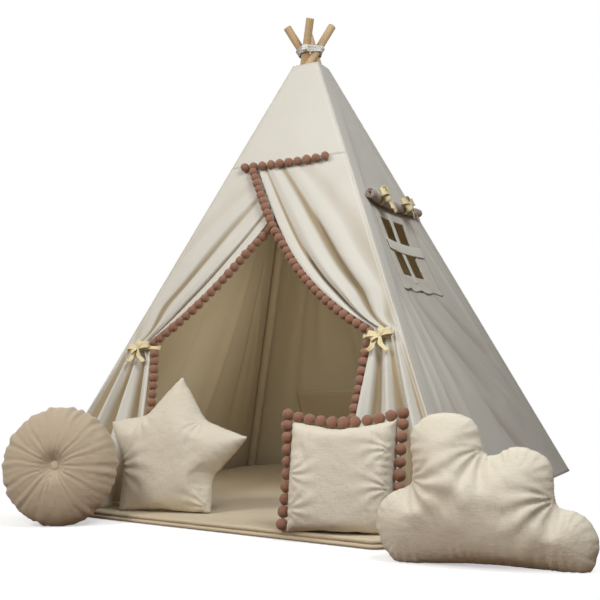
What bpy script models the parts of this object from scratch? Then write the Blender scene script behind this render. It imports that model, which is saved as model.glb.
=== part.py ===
"""A kids' teepee: four leaning poles in a canvas cover with tied-back curtains, a window with a rolled
blind, pompom trims, a floor mat and four cushions. Metres, +Z up, the door faces -Y, and the origin is
on the floor at the middle of the four pole feet."""

import math

import bmesh
import bpy
from mathutils import Matrix, Vector

# Frame of poles
BASE_HALF = 0.60
CROSS_HEIGHT = 1.345
POLE_RADIUS = 0.0125
POLE_LENGTH = 1.71
POLE_SIDES = 14
POLE_CROSSING_GAP = 0.0008

# Cloth and the gaps between pieces
SEAM_GAP = 0.0003
LAYER_GAP = 0.0006
PATCH_GAP = 0.0010
CANVAS = 0.0022
PATCH_CLOTH = 0.0014
RIBBON = 0.0016
BOW_HALF_LENGTH = 0.034
BOW_HALF_HEIGHT = 0.013
BOW_DEPTH = 0.0064
BOW_TAIL = 0.045
BOW_TAIL_WIDTH = 0.009
SLEEVE_WALL = 0.0022
SLEEVE_FOOT_GAP = 0.012
SLEEVE_TOP_BELOW_CROSSING = 0.125
SLEEVE_SIDES = 12
HEM_HEIGHT = 0.006
COVER_TOP_BELOW_CROSSING = 0.025
FLAT_BESIDE_SLEEVE = 0.012
WALL_SAG = 0.036
BACK_SAG = 0.020
SAG_FULL_WIDTH = 0.24

# Lashing round the crossing
LASHING_BOTTOM = 0.013
LASHING_HEIGHT = 0.023
LASHING_THICKNESS = 0.003
LASHING_SIDES = 32
LASHING_KNOT = (0.013, 0.007, 0.009)
KNOT_CLEAR = 0.0016

# Front opening
DOOR_TOP = 0.982
CURTAIN_OVERLAP = 0.10
CURTAIN_FOLDS = 4
CURTAIN_COLUMNS = 16
FOLD_AT_TOP = 0.003
FOLD_AT_WAIST = 0.010
FOLD_AT_HEM = 0.016
WAIST_HEIGHT = 0.462
CURTAIN_HEM = 0.0235
TIE_BELOW_WAIST = 0.020
TIE_CLEAR = 0.0024
RIGHT_WAIST_EDGE = 0.349
LEFT_WAIST_EDGE = 0.338
RIGHT_EDGE_CURVE = 0.38
LEFT_EDGE_CURVE = 0.22
RIGHT_TAIL_FLARE = 0.03
LEFT_TAIL_FLARE = 0.09
TUCK_BELOW = 0.76
TIE_WIDTH = 0.014
BOW_FROM_EDGE = 0.022

# Pompom trims
POMPOM_RADIUS = 0.0118
POMPOM_PITCH = 0.0262
DOOR_TRIM_PITCH = 0.0290
PILLOW_TRIM_PITCH = 0.0270
POMPOM_SIDES = 5
TRIM_HALF_LENGTH = 0.132
TRIM_DROP = 0.004
TRIM_STEP = 0.004
TRIM_GAP = 0.0013

# Window in the right wall
PANE_HALF_SPAN = 0.098
PANE_BOTTOM = 0.630
PANE_TOP = 0.805
PATCH_BOTTOM = 0.585
PATCH_TOP = 0.828
PATCH_HALF_TOP = 0.150
PATCH_HALF_BOTTOM = 0.168
MULLION_WIDTH = 0.028
CROSSBAR_WIDTH = 0.032
CROSSBAR_HALF_LENGTH = 0.150
BLIND_RADIUS = 0.0150
BLIND_HALF_LENGTH = 0.205
BLIND_HEIGHT = 0.848
BLIND_TIE_PLACES = (-0.095, 0.105)
BLIND_TIE_WIDTH = 0.014
BLIND_TIE_CLEAR = 0.0012

# Pocket on the inside of the back wall
POCKET_HALF = 0.33
POCKET_BOTTOM = 0.06
POCKET_TOP = 0.295

# Mat: the middle (x, y) and radius of its four round corners, in turn
MAT_CORNERS = (
    (BASE_HALF - 0.168, BASE_HALF - 0.168, 0.14),
    (0.168 - BASE_HALF, BASE_HALF - 0.168, 0.14),
    (0.105 - BASE_HALF, 0.010 - BASE_HALF, 0.035),
    (BASE_HALF - 0.100, -BASE_HALF - 0.230, 0.035),
)
MAT_THICKNESS = 0.020
MAT_ARC = 6

# Cushions: place of the middle of the base (x, y), then turn and lean in degrees
ROUND_RADIUS = 0.149
ROUND_HALF_THICKNESS = 0.056
ROUND_PLACE = (-0.377, -BASE_HALF - 0.166, 20.0, 8.0)
BUTTON_RADIUS = 0.0115
BUTTON_THICKNESS = 0.006
STAR_HALF_THICKNESS = 0.056
STAR_PLACE = (-0.139, -BASE_HALF - 0.030, 0.0, 11.0)
STAR_TIP_REACH = 0.214
STAR_TIPS = ((9, 1.0), (87, 0.92), (159, 1.0), (227, 1.02), (308, 0.93))
STAR_NOTCHES = ((41, 0.55), (132, 0.59), (194, 0.65), (266, 0.68), (332, 0.64))
PILLOW_HALF = 0.122
PILLOW_HALF_THICKNESS = 0.054
PILLOW_TRIM_GAP = 0.0007
PILLOW_TRIM_ENDS = (-38.0, 218.0)
PILLOW_PLACE = (0.405, -BASE_HALF - 0.180, 5.0, 13.0)
CLOUD_WIDTH = 0.41
CLOUD_HALF_THICKNESS = 0.062
CLOUD_PLACE = (BASE_HALF + 0.180, -BASE_HALF - 0.350, 0.0, 8.0)
CLOUD_MIDDLE = (-0.085, 0.262)
CLOUD_LOBES = (
    (-0.248, 0.514, 0.171),
    (0.095, 0.367, 0.160),
    (0.295, 0.148, 0.133),
    (-0.424, 0.186, 0.157),
    (-0.238, 0.262, 0.200),
    (-0.060, 0.238, 0.236),
    (0.190, 0.160, 0.157),
)
CUSHION_SIT = 0.005

# Worked out from the sizes above
FOOT_CORNER = BASE_HALF * math.sqrt(2)
POLE_LEAN = math.atan2(FOOT_CORNER, CROSS_HEIGHT)
POLE_OFFSET = (
    (2 * POLE_RADIUS + POLE_CROSSING_GAP)
    * math.sqrt(1 + math.cos(POLE_LEAN) ** 2)
    / (2 * math.cos(POLE_LEAN))
)
SLEEVE_RADIUS = POLE_RADIUS + SEAM_GAP + SLEEVE_WALL
WALL_LEAN = math.atan2(BASE_HALF - POLE_OFFSET / math.sqrt(2), CROSS_HEIGHT)
CLOTH_CLEAR = (SLEEVE_RADIUS + SEAM_GAP) / math.cos(WALL_LEAN)
AXIS_REACH = POLE_OFFSET / math.sqrt(2) + CLOTH_CLEAR
FOOT_REACH = BASE_HALF + CLOTH_CLEAR
COVER_TOP = CROSS_HEIGHT - COVER_TOP_BELOW_CROSSING
ALONG_X = 1 / math.cos(WALL_LEAN)

COLOURS = {
    "pine": (0.62, 0.47, 0.30, 1),
    "canvas": (0.80, 0.77, 0.70, 1),
    "lining": (0.72, 0.68, 0.58, 1),
    "lashing": (0.88, 0.87, 0.84, 1),
    "ribbon": (0.86, 0.80, 0.58, 1),
    "pompom": (0.45, 0.25, 0.19, 1),
    "blind": (0.62, 0.54, 0.49, 1),
    "mat": (0.72, 0.67, 0.57, 1),
    "cushion": (0.78, 0.72, 0.61, 1),
    "round": (0.60, 0.50, 0.38, 1),
    "button": (0.74, 0.66, 0.52, 1),
}
WALLS = {
    "front": (Vector((0, -1, 0)), Vector((1, 0, 0))),
    "right": (Vector((1, 0, 0)), Vector((0, 1, 0))),
    "back": (Vector((0, 1, 0)), Vector((1, 0, 0))),
    "left": (Vector((-1, 0, 0)), Vector((0, 1, 0))),
}


def start_empty():
    for old in list(bpy.data.objects):
        bpy.data.objects.remove(old, do_unlink=True)


def material(colour):
    found = bpy.data.materials.get(colour)
    if found:
        return found
    made = bpy.data.materials.new(colour)
    made.use_nodes = True
    shader = made.node_tree.nodes["Principled BSDF"]
    shader.inputs["Base Color"].default_value = COLOURS[colour]
    shader.inputs["Roughness"].default_value = 0.55 if colour == "pine" else 0.9
    shader.inputs["Metallic"].default_value = 0.0
    return made


def solid(name, points, faces, colour, smooth=True):
    """A named object from points and faces, with the faces turned outward."""
    mesh = bpy.data.meshes.new(name)
    work = bmesh.new()
    corners = [work.verts.new(p) for p in points]
    for face in faces:
        work.faces.new([corners[n] for n in face])
    bmesh.ops.recalc_face_normals(work, faces=work.faces)
    work.to_mesh(mesh)
    work.free()
    mesh.materials.append(material(colour))
    if smooth:
        mesh.shade_smooth()
        mesh.set_sharp_from_angle(angle=math.radians(50))
    made = bpy.data.objects.new(name, mesh)
    bpy.context.scene.collection.objects.link(made)
    return made


def thick_grid(name, inside, outside, colour, left_out=()):
    """A sheet between two grids of points (rows of equal length), closed round every free edge."""
    rows, columns = len(inside), len(inside[0])
    cells = [(i, j) for i in range(rows - 1) for j in range(columns - 1) if (i, j) not in left_out]
    points, index = [], {}

    def corner(layer, i, j):
        key = layer, i, j
        if key not in index:
            index[key] = len(points)
            points.append((inside, outside)[layer][i][j])
        return index[key]

    faces, edges = [], {}
    for i, j in cells:
        ring = [(i, j), (i, j + 1), (i + 1, j + 1), (i + 1, j)]
        for half in (ring[:3], [ring[0], *ring[2:]]):
            faces.append([corner(0, *p) for p in half])
            faces.append([corner(1, *p) for p in reversed(half)])
        for a, b in zip(ring, ring[1:] + ring[:1]):
            edges[frozenset((a, b))] = None if frozenset((a, b)) in edges else (a, b)
    for pair in edges.values():
        if pair:
            a, b = pair
            faces.append([corner(0, *b), corner(0, *a), corner(1, *a), corner(1, *b)])
    return solid(name, points, faces, colour)


def rings_solid(name, rings, colour, closed=False, smooth=True):
    """A solid through rings of equal length, with flat ends unless it closes on itself."""
    points = [p for ring in rings for p in ring]
    sides, count = len(rings[0]), len(rings)
    faces = []
    for k in range(count if closed else count - 1):
        here, there = k * sides, (k + 1) % count * sides
        for n in range(sides):
            m = (n + 1) % sides
            faces.append([here + n, here + m, there + m, there + n])
    if not closed:
        faces.append(list(range(sides)))
        faces.append([(count - 1) * sides + n for n in range(sides)])
    return solid(name, points, faces, colour, smooth)


def circle(middle, along, towards, radius, sides):
    """A ring of points about an axis, the first of them on the side that towards points to."""
    along = along.normalized()
    first = (towards - along * towards.dot(along)).normalized()
    second = along.cross(first)
    turns = [2 * math.pi * n / sides for n in range(sides)]
    return [middle + radius * (first * math.cos(a) + second * math.sin(a)) for a in turns]


def between(low, high, count):
    """Heights evenly spaced between two others, without them."""
    return [low + (high - low) * (n + 1) / (count + 1) for n in range(count)]


def clamp(value, low=0.0, high=1.0):
    return max(low, min(high, value))


def ease(value):
    value = clamp(value)
    return value * value * (3 - 2 * value)


# Poles and sleeves


def pole_axis(corner):
    """(point at the crossing, direction towards the foot) of the pole to a corner, such as (1, -1)."""
    out = Vector((corner[0], corner[1], 0)).normalized()
    round_axis = Vector((0, 0, 1)).cross(out)
    crossing = POLE_OFFSET * round_axis + Vector((0, 0, CROSS_HEIGHT))
    foot = FOOT_CORNER * out
    return crossing, (foot - crossing).normalized()


def foot_distance(corner):
    """How far down its axis a pole's square-cut end stands on the floor by its lowest edge."""
    crossing, down = pole_axis(corner)
    edge = POLE_RADIUS * math.sqrt(1 - down.z**2)
    return (crossing.z - edge) / -down.z


def pole(name, corner):
    crossing, down = pole_axis(corner)
    foot = foot_distance(corner)
    ends = [crossing + down * foot, crossing + down * (foot - POLE_LENGTH)]
    lowest = Vector((0, 0, -1))
    rings = [circle(end, down, lowest, POLE_RADIUS, POLE_SIDES) for end in ends]
    return rings_solid(name, rings, "pine")


def sleeve(name, corner):
    crossing, down = pole_axis(corner)
    bottom = foot_distance(corner) - SLEEVE_FOOT_GAP
    reach = (SLEEVE_TOP_BELOW_CROSSING, bottom)
    lowest = Vector((0, 0, -1))
    inner = SLEEVE_RADIUS - SLEEVE_WALL
    bore = inner / math.cos(math.pi / SLEEVE_SIDES)
    outer = SLEEVE_RADIUS / math.cos(math.pi / SLEEVE_SIDES) - SEAM_GAP
    loops = [(reach[0], bore), (reach[1], bore), (reach[1], outer), (reach[0], outer)]
    rings = [circle(crossing + down * s, down, lowest, r, SLEEVE_SIDES) for s, r in loops]
    return rings_solid(name, rings, "canvas", closed=True)


# Cover


def reach_at(height):
    """How far the inner face of a wall is from the middle axis at a height."""
    return AXIS_REACH + (FOOT_REACH - AXIS_REACH) * (1 - height / CROSS_HEIGHT)


def on_wall(side, across, height, out):
    outward, sideways = WALLS[side]
    return outward * (reach_at(height) + out) + sideways * across + Vector((0, 0, height))


def seam_strip(height):
    """The width beside a corner seam where the cloth lies flat over the pole sleeve."""
    sideways = math.sqrt(2) * POLE_OFFSET * height / CROSS_HEIGHT
    return CLOTH_CLEAR + SLEEVE_RADIUS + sideways + FLAT_BESIDE_SLEEVE


def half_columns(side, height):
    """Distances from the middle of a wall to its columns of points, from the middle to the seam strip."""
    width = reach_at(height)
    strip = max(width - seam_strip(height), 0.35 * width)
    inner = min(PANE_HALF_SPAN, 0.6 * strip)
    outer = POCKET_HALF if side == "back" and height <= POCKET_TOP else (inner + strip) / 2
    return [0, inner / 2, inner, outer, strip]


def sag_at_column(side, n, height):
    """How far the cloth hangs inward at a column: nothing at the seam strips and at the cover's top."""
    most = {"front": 0.0, "right": WALL_SAG, "left": WALL_SAG, "back": BACK_SAG}[side]
    columns = half_columns(side, height)
    share = 1 - (columns[n] / columns[-1]) ** 2
    belly = math.sin(math.pi * clamp(height / COVER_TOP) ** 0.8)
    narrow = clamp(columns[-1] / SAG_FULL_WIDTH) * ease((COVER_TOP - height) / 0.3)
    return most * share * (0.25 + 0.75 * belly) * narrow


def sag_at(side, across, height):
    """The same anywhere on the wall, straight between the columns."""
    columns = half_columns(side, height)
    if abs(across) >= columns[-1]:
        return 0.0
    n = max(k for k in range(len(columns)) if columns[k] <= abs(across))
    share = (abs(across) - columns[n]) / (columns[n + 1] - columns[n])
    here, there = sag_at_column(side, n, height), sag_at_column(side, n + 1, height)
    return here + (there - here) * share


def wall_rows(side, heights):
    """Inner and outer grids of a wall between its two mitred corner seams."""
    grids = []
    for out in (0.0, CANVAS * ALONG_X):
        grid = []
        for height in heights:
            seam = reach_at(height) + out - SEAM_GAP
            half = half_columns(side, height) + [seam]
            across = [-a for a in reversed(half[1:])] + half
            grid.append([on_wall(side, a, height, out - sag_at(side, a, height)) for a in across])
        grids.append(grid)
    return grids


def pocket_heights():
    return [POCKET_BOTTOM, (POCKET_BOTTOM + POCKET_TOP) / 2, POCKET_TOP]


def plain_wall(name, side):
    heights = [HEM_HEIGHT, *pocket_heights(), *between(POCKET_TOP, COVER_TOP, 5), COVER_TOP]
    return thick_grid(name, *wall_rows(side, heights), "canvas")


def window_wall(name):
    middle = (PANE_BOTTOM + PANE_TOP) / 2
    heights = [HEM_HEIGHT, *between(HEM_HEIGHT, PATCH_BOTTOM, 3), PATCH_BOTTOM]
    heights += [PANE_BOTTOM, middle, PANE_TOP, PATCH_TOP]
    over_blind = BLIND_HEIGHT + BLIND_RADIUS
    heights += [over_blind, *between(over_blind, COVER_TOP, 2), COVER_TOP]
    rows = heights.index(PANE_BOTTOM), heights.index(PANE_TOP)
    opening = {(i, j) for i in range(*rows) for j in range(3, 7)}
    return thick_grid(name, *wall_rows("right", heights), "canvas", opening)


def front_top_panel(name):
    heights = [DOOR_TOP, *between(DOOR_TOP, COVER_TOP, 3), COVER_TOP]
    return thick_grid(name, *wall_rows("front", heights), "canvas")


# Window


def patch_half(height):
    share = (height - PATCH_BOTTOM) / (PATCH_TOP - PATCH_BOTTOM)
    return PATCH_HALF_BOTTOM + (PATCH_HALF_TOP - PATCH_HALF_BOTTOM) * share


def window_layer(across_by_row, heights, out, thickness):
    """Grids of a cloth layer that follows the right wall, out being its distance from the wall's face."""
    base = (CANVAS + out) * ALONG_X
    grids = []
    for extra in (0.0, thickness * ALONG_X):
        grid = []
        for across, height in zip(across_by_row, heights):
            row = [on_wall("right", a, height, base + extra - sag_at("right", a, height)) for a in across]
            grid.append(row)
        grids.append(grid)
    return grids


def window_surround(name):
    heights = [PATCH_BOTTOM, PANE_BOTTOM, (PANE_BOTTOM + PANE_TOP) / 2, PANE_TOP, PATCH_TOP]
    inner = [-PANE_HALF_SPAN, -PANE_HALF_SPAN / 2, 0, PANE_HALF_SPAN / 2, PANE_HALF_SPAN]
    across = [[-patch_half(h), *inner, patch_half(h)] for h in heights]
    opening = {(i, j) for i in (1, 2) for j in range(1, 5)}
    grids = window_layer(across, heights, PATCH_GAP, PATCH_CLOTH)
    return thick_grid(name, *grids, "canvas", opening)


def window_mullion(name):
    heights = [PANE_BOTTOM - 0.02, PANE_BOTTOM, (PANE_BOTTOM + PANE_TOP) / 2, PANE_TOP, PANE_TOP + 0.02]
    across = [[-MULLION_WIDTH / 2, 0, MULLION_WIDTH / 2]] * len(heights)
    out = PATCH_GAP + PATCH_CLOTH + LAYER_GAP
    return thick_grid(name, *window_layer(across, heights, out, PATCH_CLOTH), "lining")


def window_crossbar(name):
    middle = (PANE_BOTTOM + PANE_TOP) / 2
    heights = [middle - CROSSBAR_WIDTH / 2, middle, middle + CROSSBAR_WIDTH / 2]
    inner = [-PANE_HALF_SPAN, -PANE_HALF_SPAN / 2, 0, PANE_HALF_SPAN / 2, PANE_HALF_SPAN]
    across = [[-CROSSBAR_HALF_LENGTH, *inner, CROSSBAR_HALF_LENGTH]] * len(heights)
    out = PATCH_GAP + 2 * PATCH_CLOTH + 2 * LAYER_GAP
    return thick_grid(name, *window_layer(across, heights, out, PATCH_CLOTH), "lining")


def right_wall_normal():
    return Vector((math.cos(WALL_LEAN), 0, math.sin(WALL_LEAN)))


def blind_middle(across):
    """A point on the rolled blind's own axis, which lies on the wall's outer face."""
    out = CANVAS * ALONG_X - sag_at("right", across, BLIND_HEIGHT)
    face = on_wall("right", across, BLIND_HEIGHT, out)
    return face + right_wall_normal() * (BLIND_RADIUS + LAYER_GAP)


def blind_roll(name):
    columns = [c for c in half_columns("right", BLIND_HEIGHT)[1:] if c < BLIND_HALF_LENGTH - 0.01]
    half = columns + [BLIND_HALF_LENGTH]
    places = [-a for a in reversed(half)] + [0] + half
    along = Vector((0, 1, 0))
    rings = [circle(blind_middle(a), along, right_wall_normal(), BLIND_RADIUS, 12) for a in places]
    return rings_solid(name, rings, "blind")


def ribbon_strip(name, path, width_way, width, colour):
    """A flat ribbon of even thickness along a path, its width along width_way."""
    ways = []
    for k, point in enumerate(path):
        ahead = path[min(k + 1, len(path) - 1)] - path[max(k - 1, 0)]
        ways.append(ahead.normalized().cross(width_way).normalized())
    sides = []
    for layer in (-0.5, 0.5):
        shifted = [p + w * RIBBON * layer for p, w in zip(path, ways)]
        sides.append([[p - width_way * width / 2, p + width_way * width / 2] for p in shifted])
    return thick_grid(name, *sides, colour)


def blind_frame(across):
    """Middle, direction along the roll, and direction away from the wall at a place on the blind."""
    step = BLIND_TIE_WIDTH
    along = (blind_middle(across + step) - blind_middle(across - step)).normalized()
    up = right_wall_normal().cross(along).normalized()
    return blind_middle(across), along, along.cross(up)


def blind_tie(name, across):
    middle, along, outward = blind_frame(across)
    up = outward.cross(along)
    radius = BLIND_RADIUS + BLIND_TIE_CLEAR + RIBBON / 2
    turns = [math.radians(a) for a in range(80, -81, -20)]
    path = [middle + radius * (outward * math.cos(a) + up * math.sin(a)) for a in turns]
    return ribbon_strip(name, path, along, BLIND_TIE_WIDTH, "ribbon")


def bow(name, middle, sideways, outward):
    """Two ribbon loops, their knot and two hanging tails, in one piece."""
    up = outward.cross(sideways).normalized()
    if up.z < 0:
        up = -up
    shape = ((1.0, 0.45, 0.38), (0.8, 1.0, 0.7), (0.45, 0.85, 0.7), (0.16, 0.30, 0.52), (0.0, 0.42, 0.96))
    shape += tuple((-a, b, c) for a, b, c in reversed(shape[:-1]))
    turns = [math.pi * n / 4 for n in range(8)]
    rings = []
    for along, tall, thick in shape:
        centre = middle + sideways * BOW_HALF_LENGTH * along - up * BOW_HALF_HEIGHT * 0.25 * abs(along)
        tall_way, deep_way = up * BOW_HALF_HEIGHT * tall, outward * BOW_DEPTH * thick
        rings.append([centre + tall_way * math.sin(a) + deep_way * math.cos(a) for a in turns])
    body = rings_solid(name, rings, "ribbon")
    for way in (-1, 1):
        top = middle + sideways * way * BOW_HALF_LENGTH * 0.05
        end = top - up * BOW_TAIL + sideways * way * BOW_TAIL * 0.45
        flat = outward.cross(end - top).normalized()
        strip = ribbon_strip(f"{name}_tail_{way}", [top, end], flat, BOW_TAIL_WIDTH, "ribbon")
        strip.hide_render = True
        strip.display_type = "WIRE"
        joined = body.modifiers.new("tail", "BOOLEAN")
        joined.operation = "UNION"
        joined.solver = "EXACT"
        joined.object = strip
    return body


# Curtains


def ridge_at(height):
    return reach_at(height)


def free_edge(side, height):
    """How far from the middle a curtain's free edge is, counted towards its own side."""
    waist = RIGHT_WAIST_EDGE if side > 0 else LEFT_WAIST_EDGE
    if height >= WAIST_HEIGHT:
        share = (DOOR_TOP - height) / (DOOR_TOP - WAIST_HEIGHT)
        curve = RIGHT_EDGE_CURVE if side > 0 else LEFT_EDGE_CURVE
        return -CURTAIN_OVERLAP + (waist + CURTAIN_OVERLAP) * ((1 - curve) * share + curve * share**4)
    flare = RIGHT_TAIL_FLARE if side > 0 else LEFT_TAIL_FLARE
    return waist - flare * ((WAIST_HEIGHT - height) / WAIST_HEIGHT) ** 0.8


def fold_height(height):
    if height >= WAIST_HEIGHT:
        share = ease((DOOR_TOP - height) / (DOOR_TOP - WAIST_HEIGHT))
        return FOLD_AT_TOP + (FOLD_AT_WAIST - FOLD_AT_TOP) * share
    return FOLD_AT_WAIST + (FOLD_AT_HEM - FOLD_AT_WAIST) * ease((WAIST_HEIGHT - height) / 0.2)


def curtain_out(side, across, height):
    """How far outside the wall's inner face a curtain lies. across counts towards its own side."""
    ridge = ridge_at(height)
    free = free_edge(side, height)
    share = (across - free) / (ridge - free)
    wave = fold_height(height) * math.sin(2 * math.pi * CURTAIN_FOLDS * share)
    over_sleeve = clamp((ridge - seam_strip(height) - across) / 0.03)
    from_middle = ease((across - 0.10) / 0.06) if height > TUCK_BELOW - 0.1 else 1.0
    at_seam = clamp((ridge - across) / 0.012)
    if side > 0:
        return wave * at_seam * (1 if wave > 0 else over_sleeve * from_middle)
    tucked = (1 - ease((across - 0.10) / 0.06)) * ease((height - TUCK_BELOW + 0.1) / 0.1)
    inward = (CANVAS * ALONG_X + 2 * LAYER_GAP) * tucked
    return wave * at_seam * (from_middle if wave > 0 else over_sleeve) - inward


def curtain_heights():
    """The rows of a curtain from the top down."""
    top = DOOR_TOP - SEAM_GAP * 2
    upper = [top, *reversed(between(WAIST_HEIGHT, top, 7)), WAIST_HEIGHT]
    return upper + [*reversed(between(CURTAIN_HEM, WAIST_HEIGHT, 4)), CURTAIN_HEM]


def edge_between_rows(side, height):
    """The free edge as it is built, straight between the rows."""
    rows = curtain_heights()
    pairs = list(zip(rows, rows[1:]))
    upper, lower = next((pair for pair in pairs if pair[1] <= height), pairs[-1])
    share = (upper - height) / (upper - lower)
    return free_edge(side, upper) + (free_edge(side, lower) - free_edge(side, upper)) * share


def curtain(name, side):
    heights = curtain_heights()
    grids = []
    for extra in (0.0, CANVAS * ALONG_X):
        grid = []
        for height in heights:
            free = free_edge(side, height)
            seam = ridge_at(height) + extra - SEAM_GAP
            row = []
            for n in range(CURTAIN_COLUMNS + 1):
                across = free + (seam - free) * n / CURTAIN_COLUMNS
                out = curtain_out(side, across, height) + extra
                row.append(on_wall("front", side * across, height, out))
            grid.append(row)
        grids.append(grid)
    return thick_grid(name, *grids, "canvas")


def tie_arm():
    """How far the waist ribbon's middle line is from the wall plane on both sides of the gathered cloth."""
    return FOLD_AT_WAIST + CANVAS * ALONG_X + TIE_CLEAR


def curtain_tie(name, side):
    """A ribbon from the seam across the gathered cloth, round its free edge and back inside."""
    height = WAIST_HEIGHT - TIE_BELOW_WAIST
    ridge = ridge_at(height)
    arm = tie_arm()
    tip = free_edge(side, height - TIE_WIDTH) - 2 * POMPOM_RADIUS - 0.005
    turned = ((0.016, 1.0), (0.004, 0.68), (0.0, 0.0), (0.004, -0.68), (0.016, -1.0))
    plan = [(ridge - 0.030, arm), *((tip + x, arm * share) for x, share in turned)]
    plan.append((ridge - seam_strip(height) + 0.006, -arm))
    path = [on_wall("front", side * x, height, out) for x, out in plan]
    up = Vector((0, math.sin(WALL_LEAN), math.cos(WALL_LEAN)))
    return ribbon_strip(name, path, up, TIE_WIDTH, "ribbon")


def curtain_bow(name, side):
    out = tie_arm() + (RIBBON / 2 + LAYER_GAP + BOW_DEPTH) * ALONG_X
    height = WAIST_HEIGHT - TIE_BELOW_WAIST
    middle = on_wall("front", side * (free_edge(side, WAIST_HEIGHT) + BOW_FROM_EDGE), height, out)
    outward = Vector((0, -math.cos(WALL_LEAN), math.sin(WALL_LEAN)))
    return bow(name, middle, Vector((1, 0, 0)), outward)


# Pompom trims


def pompom_string(name, middles):
    """Balls threaded on one string: each ball is three rings, and the string is the thin neck between."""
    rings = []
    for k, middle in enumerate(middles):
        after = middles[min(k + 1, len(middles) - 1)]
        before = middles[max(k - 1, 0)]
        along = (after - before).normalized()
        side = Vector((0, -math.cos(WALL_LEAN), math.sin(WALL_LEAN)))
        for angle in (28, 90, 152):
            step = -POMPOM_RADIUS * math.cos(math.radians(angle))
            radius = POMPOM_RADIUS * math.sin(math.radians(angle))
            rings.append(circle(middle + along * step, along, side, radius, POMPOM_SIDES))
    return rings_solid(name, rings, "pompom")


def evenly(path, pitch):
    """Points at an even distance along a finely sampled path."""
    lengths = [0.0]
    for a, b in zip(path, path[1:]):
        lengths.append(lengths[-1] + (b - a).length)
    count = int(lengths[-1] / pitch)
    step = lengths[-1] / count
    found, k = [], 0
    for n in range(count + 1):
        goal = min(n * step, lengths[-1])
        while lengths[k + 1] < goal and k + 2 < len(lengths):
            k += 1
        share = (goal - lengths[k]) / (lengths[k + 1] - lengths[k])
        found.append(path[k].lerp(path[k + 1], clamp(share)))
    return found


def trim_point(side, height):
    """Where the trim's string runs, beside the curtain's free edge."""
    step = TRIM_STEP
    slope = (edge_between_rows(side, height - step) - edge_between_rows(side, height + step)) / (2 * step)
    if height > WAIST_HEIGHT - 2 * step:
        slope = max(slope, 0.0)
    length = math.hypot(1, slope)
    aside = POMPOM_RADIUS + TRIM_GAP
    across = edge_between_rows(side, height) - aside / length
    layer = (0.0145 if side > 0 else -0.0165) * ease((height - 0.70) / 0.08)
    return on_wall("front", side * across, height - aside * slope / length, layer + CANVAS * 0.5)


def curtain_trim(name, side):
    """Pompoms beside a curtain's free edge, in front of the other curtain where the two overlap, with a
    wider step where the waist ribbon passes between two of them."""
    tie = WAIST_HEIGHT - TIE_BELOW_WAIST
    beside = TIE_WIDTH / 2 + POMPOM_RADIUS + 2 * LAYER_GAP
    runs = ((DOOR_TOP - 0.035, tie + beside), (tie - beside, CURTAIN_HEM + POMPOM_RADIUS + 0.002))
    samples = 120
    balls = []
    for top, bottom in runs:
        path = [trim_point(side, top + (bottom - top) * k / samples) for k in range(samples + 1)]
        balls += evenly(path, POMPOM_PITCH)
    return pompom_string(name, balls)


def door_top_trim(name):
    flat_back = POMPOM_RADIUS * math.cos(math.pi / POMPOM_SIDES)
    out = (CANVAS + LAYER_GAP + flat_back) * ALONG_X + FOLD_AT_TOP
    height = DOOR_TOP - TRIM_DROP
    ends = [on_wall("front", way * TRIM_HALF_LENGTH, height, out) for way in (-1, 1)]
    return pompom_string(name, evenly(ends, DOOR_TRIM_PITCH))


# Lashing


def bundle_outline(height, grow):
    """A loop round the four poles at a height above the crossing, grow outside them."""
    sections = []
    for corner in ((1, -1), (1, 1), (-1, 1), (-1, -1)):
        crossing, down = pole_axis(corner)
        middle = crossing + down * (height / down.z)
        level = Vector((down.x, down.y, 0)).normalized()
        long_half = POLE_RADIUS / -down.z
        sections.append((middle, level, long_half))
    loop = []
    for n in range(LASHING_SIDES):
        turn = 2 * math.pi * (n + 0.5) / LASHING_SIDES
        way = Vector((math.cos(turn), math.sin(turn), 0))
        furthest = None
        for middle, level, long_half in sections:
            cross = Vector((-level.y, level.x, 0))
            a, b = long_half * way.dot(level), POLE_RADIUS * way.dot(cross)
            size = math.hypot(a, b)
            point = middle + level * (long_half * a / size) + cross * (POLE_RADIUS * b / size)
            if furthest is None or point.dot(way) > furthest.dot(way):
                furthest = point
        loop.append(furthest + way * grow)
    return loop


def lashing_band(name):
    low, high = LASHING_BOTTOM, LASHING_BOTTOM + LASHING_HEIGHT
    middle = (low + high) / 2
    inner = 2 * SEAM_GAP
    outer = inner + LASHING_THICKNESS
    plan = ((low, inner), (middle, inner), (high, inner), (high, outer), (middle, outer + 0.001), (low, outer))
    return rings_solid(name, [bundle_outline(h, g) for h, g in plan], "lashing", closed=True)


def lashing_knot(name):
    height = LASHING_BOTTOM + LASHING_HEIGHT / 2
    loop = bundle_outline(height, 2 * SEAM_GAP + LASHING_THICKNESS + 0.001)
    front = min(loop, key=lambda p: p.y - 0.4 * p.x)
    half_across, half_deep, half_tall = LASHING_KNOT
    outward = Vector((0.30, -0.95, 0)).normalized()
    along = Vector((0, 0, 1)).cross(outward)
    middle = front + outward * (half_deep + KNOT_CLEAR)
    rings = []
    for share in (-0.96, -0.6, 0.0, 0.6, 0.96):
        size = math.sqrt(1 - share**2)
        ring = []
        for n in range(10):
            turn = 2 * math.pi * n / 10
            spoke = outward * half_deep * math.cos(turn) + Vector((0, 0, half_tall * math.sin(turn)))
            ring.append(middle + along * half_across * share + spoke * size)
        rings.append(ring)
    return rings_solid(name, rings, "lashing")


# Pocket and mat


def inner_pocket(name):
    grids = []
    for extra in (0.0, PATCH_CLOTH * ALONG_X):
        grid = []
        for height in pocket_heights():
            half = half_columns("back", height)[1:4]
            across = [-a for a in reversed(half)] + [0] + half
            inward = -PATCH_GAP * ALONG_X - extra
            grid.append([on_wall("back", a, height, inward - sag_at("back", a, height)) for a in across])
        grids.append(grid)
    return thick_grid(name, *grids, "lining")


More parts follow.
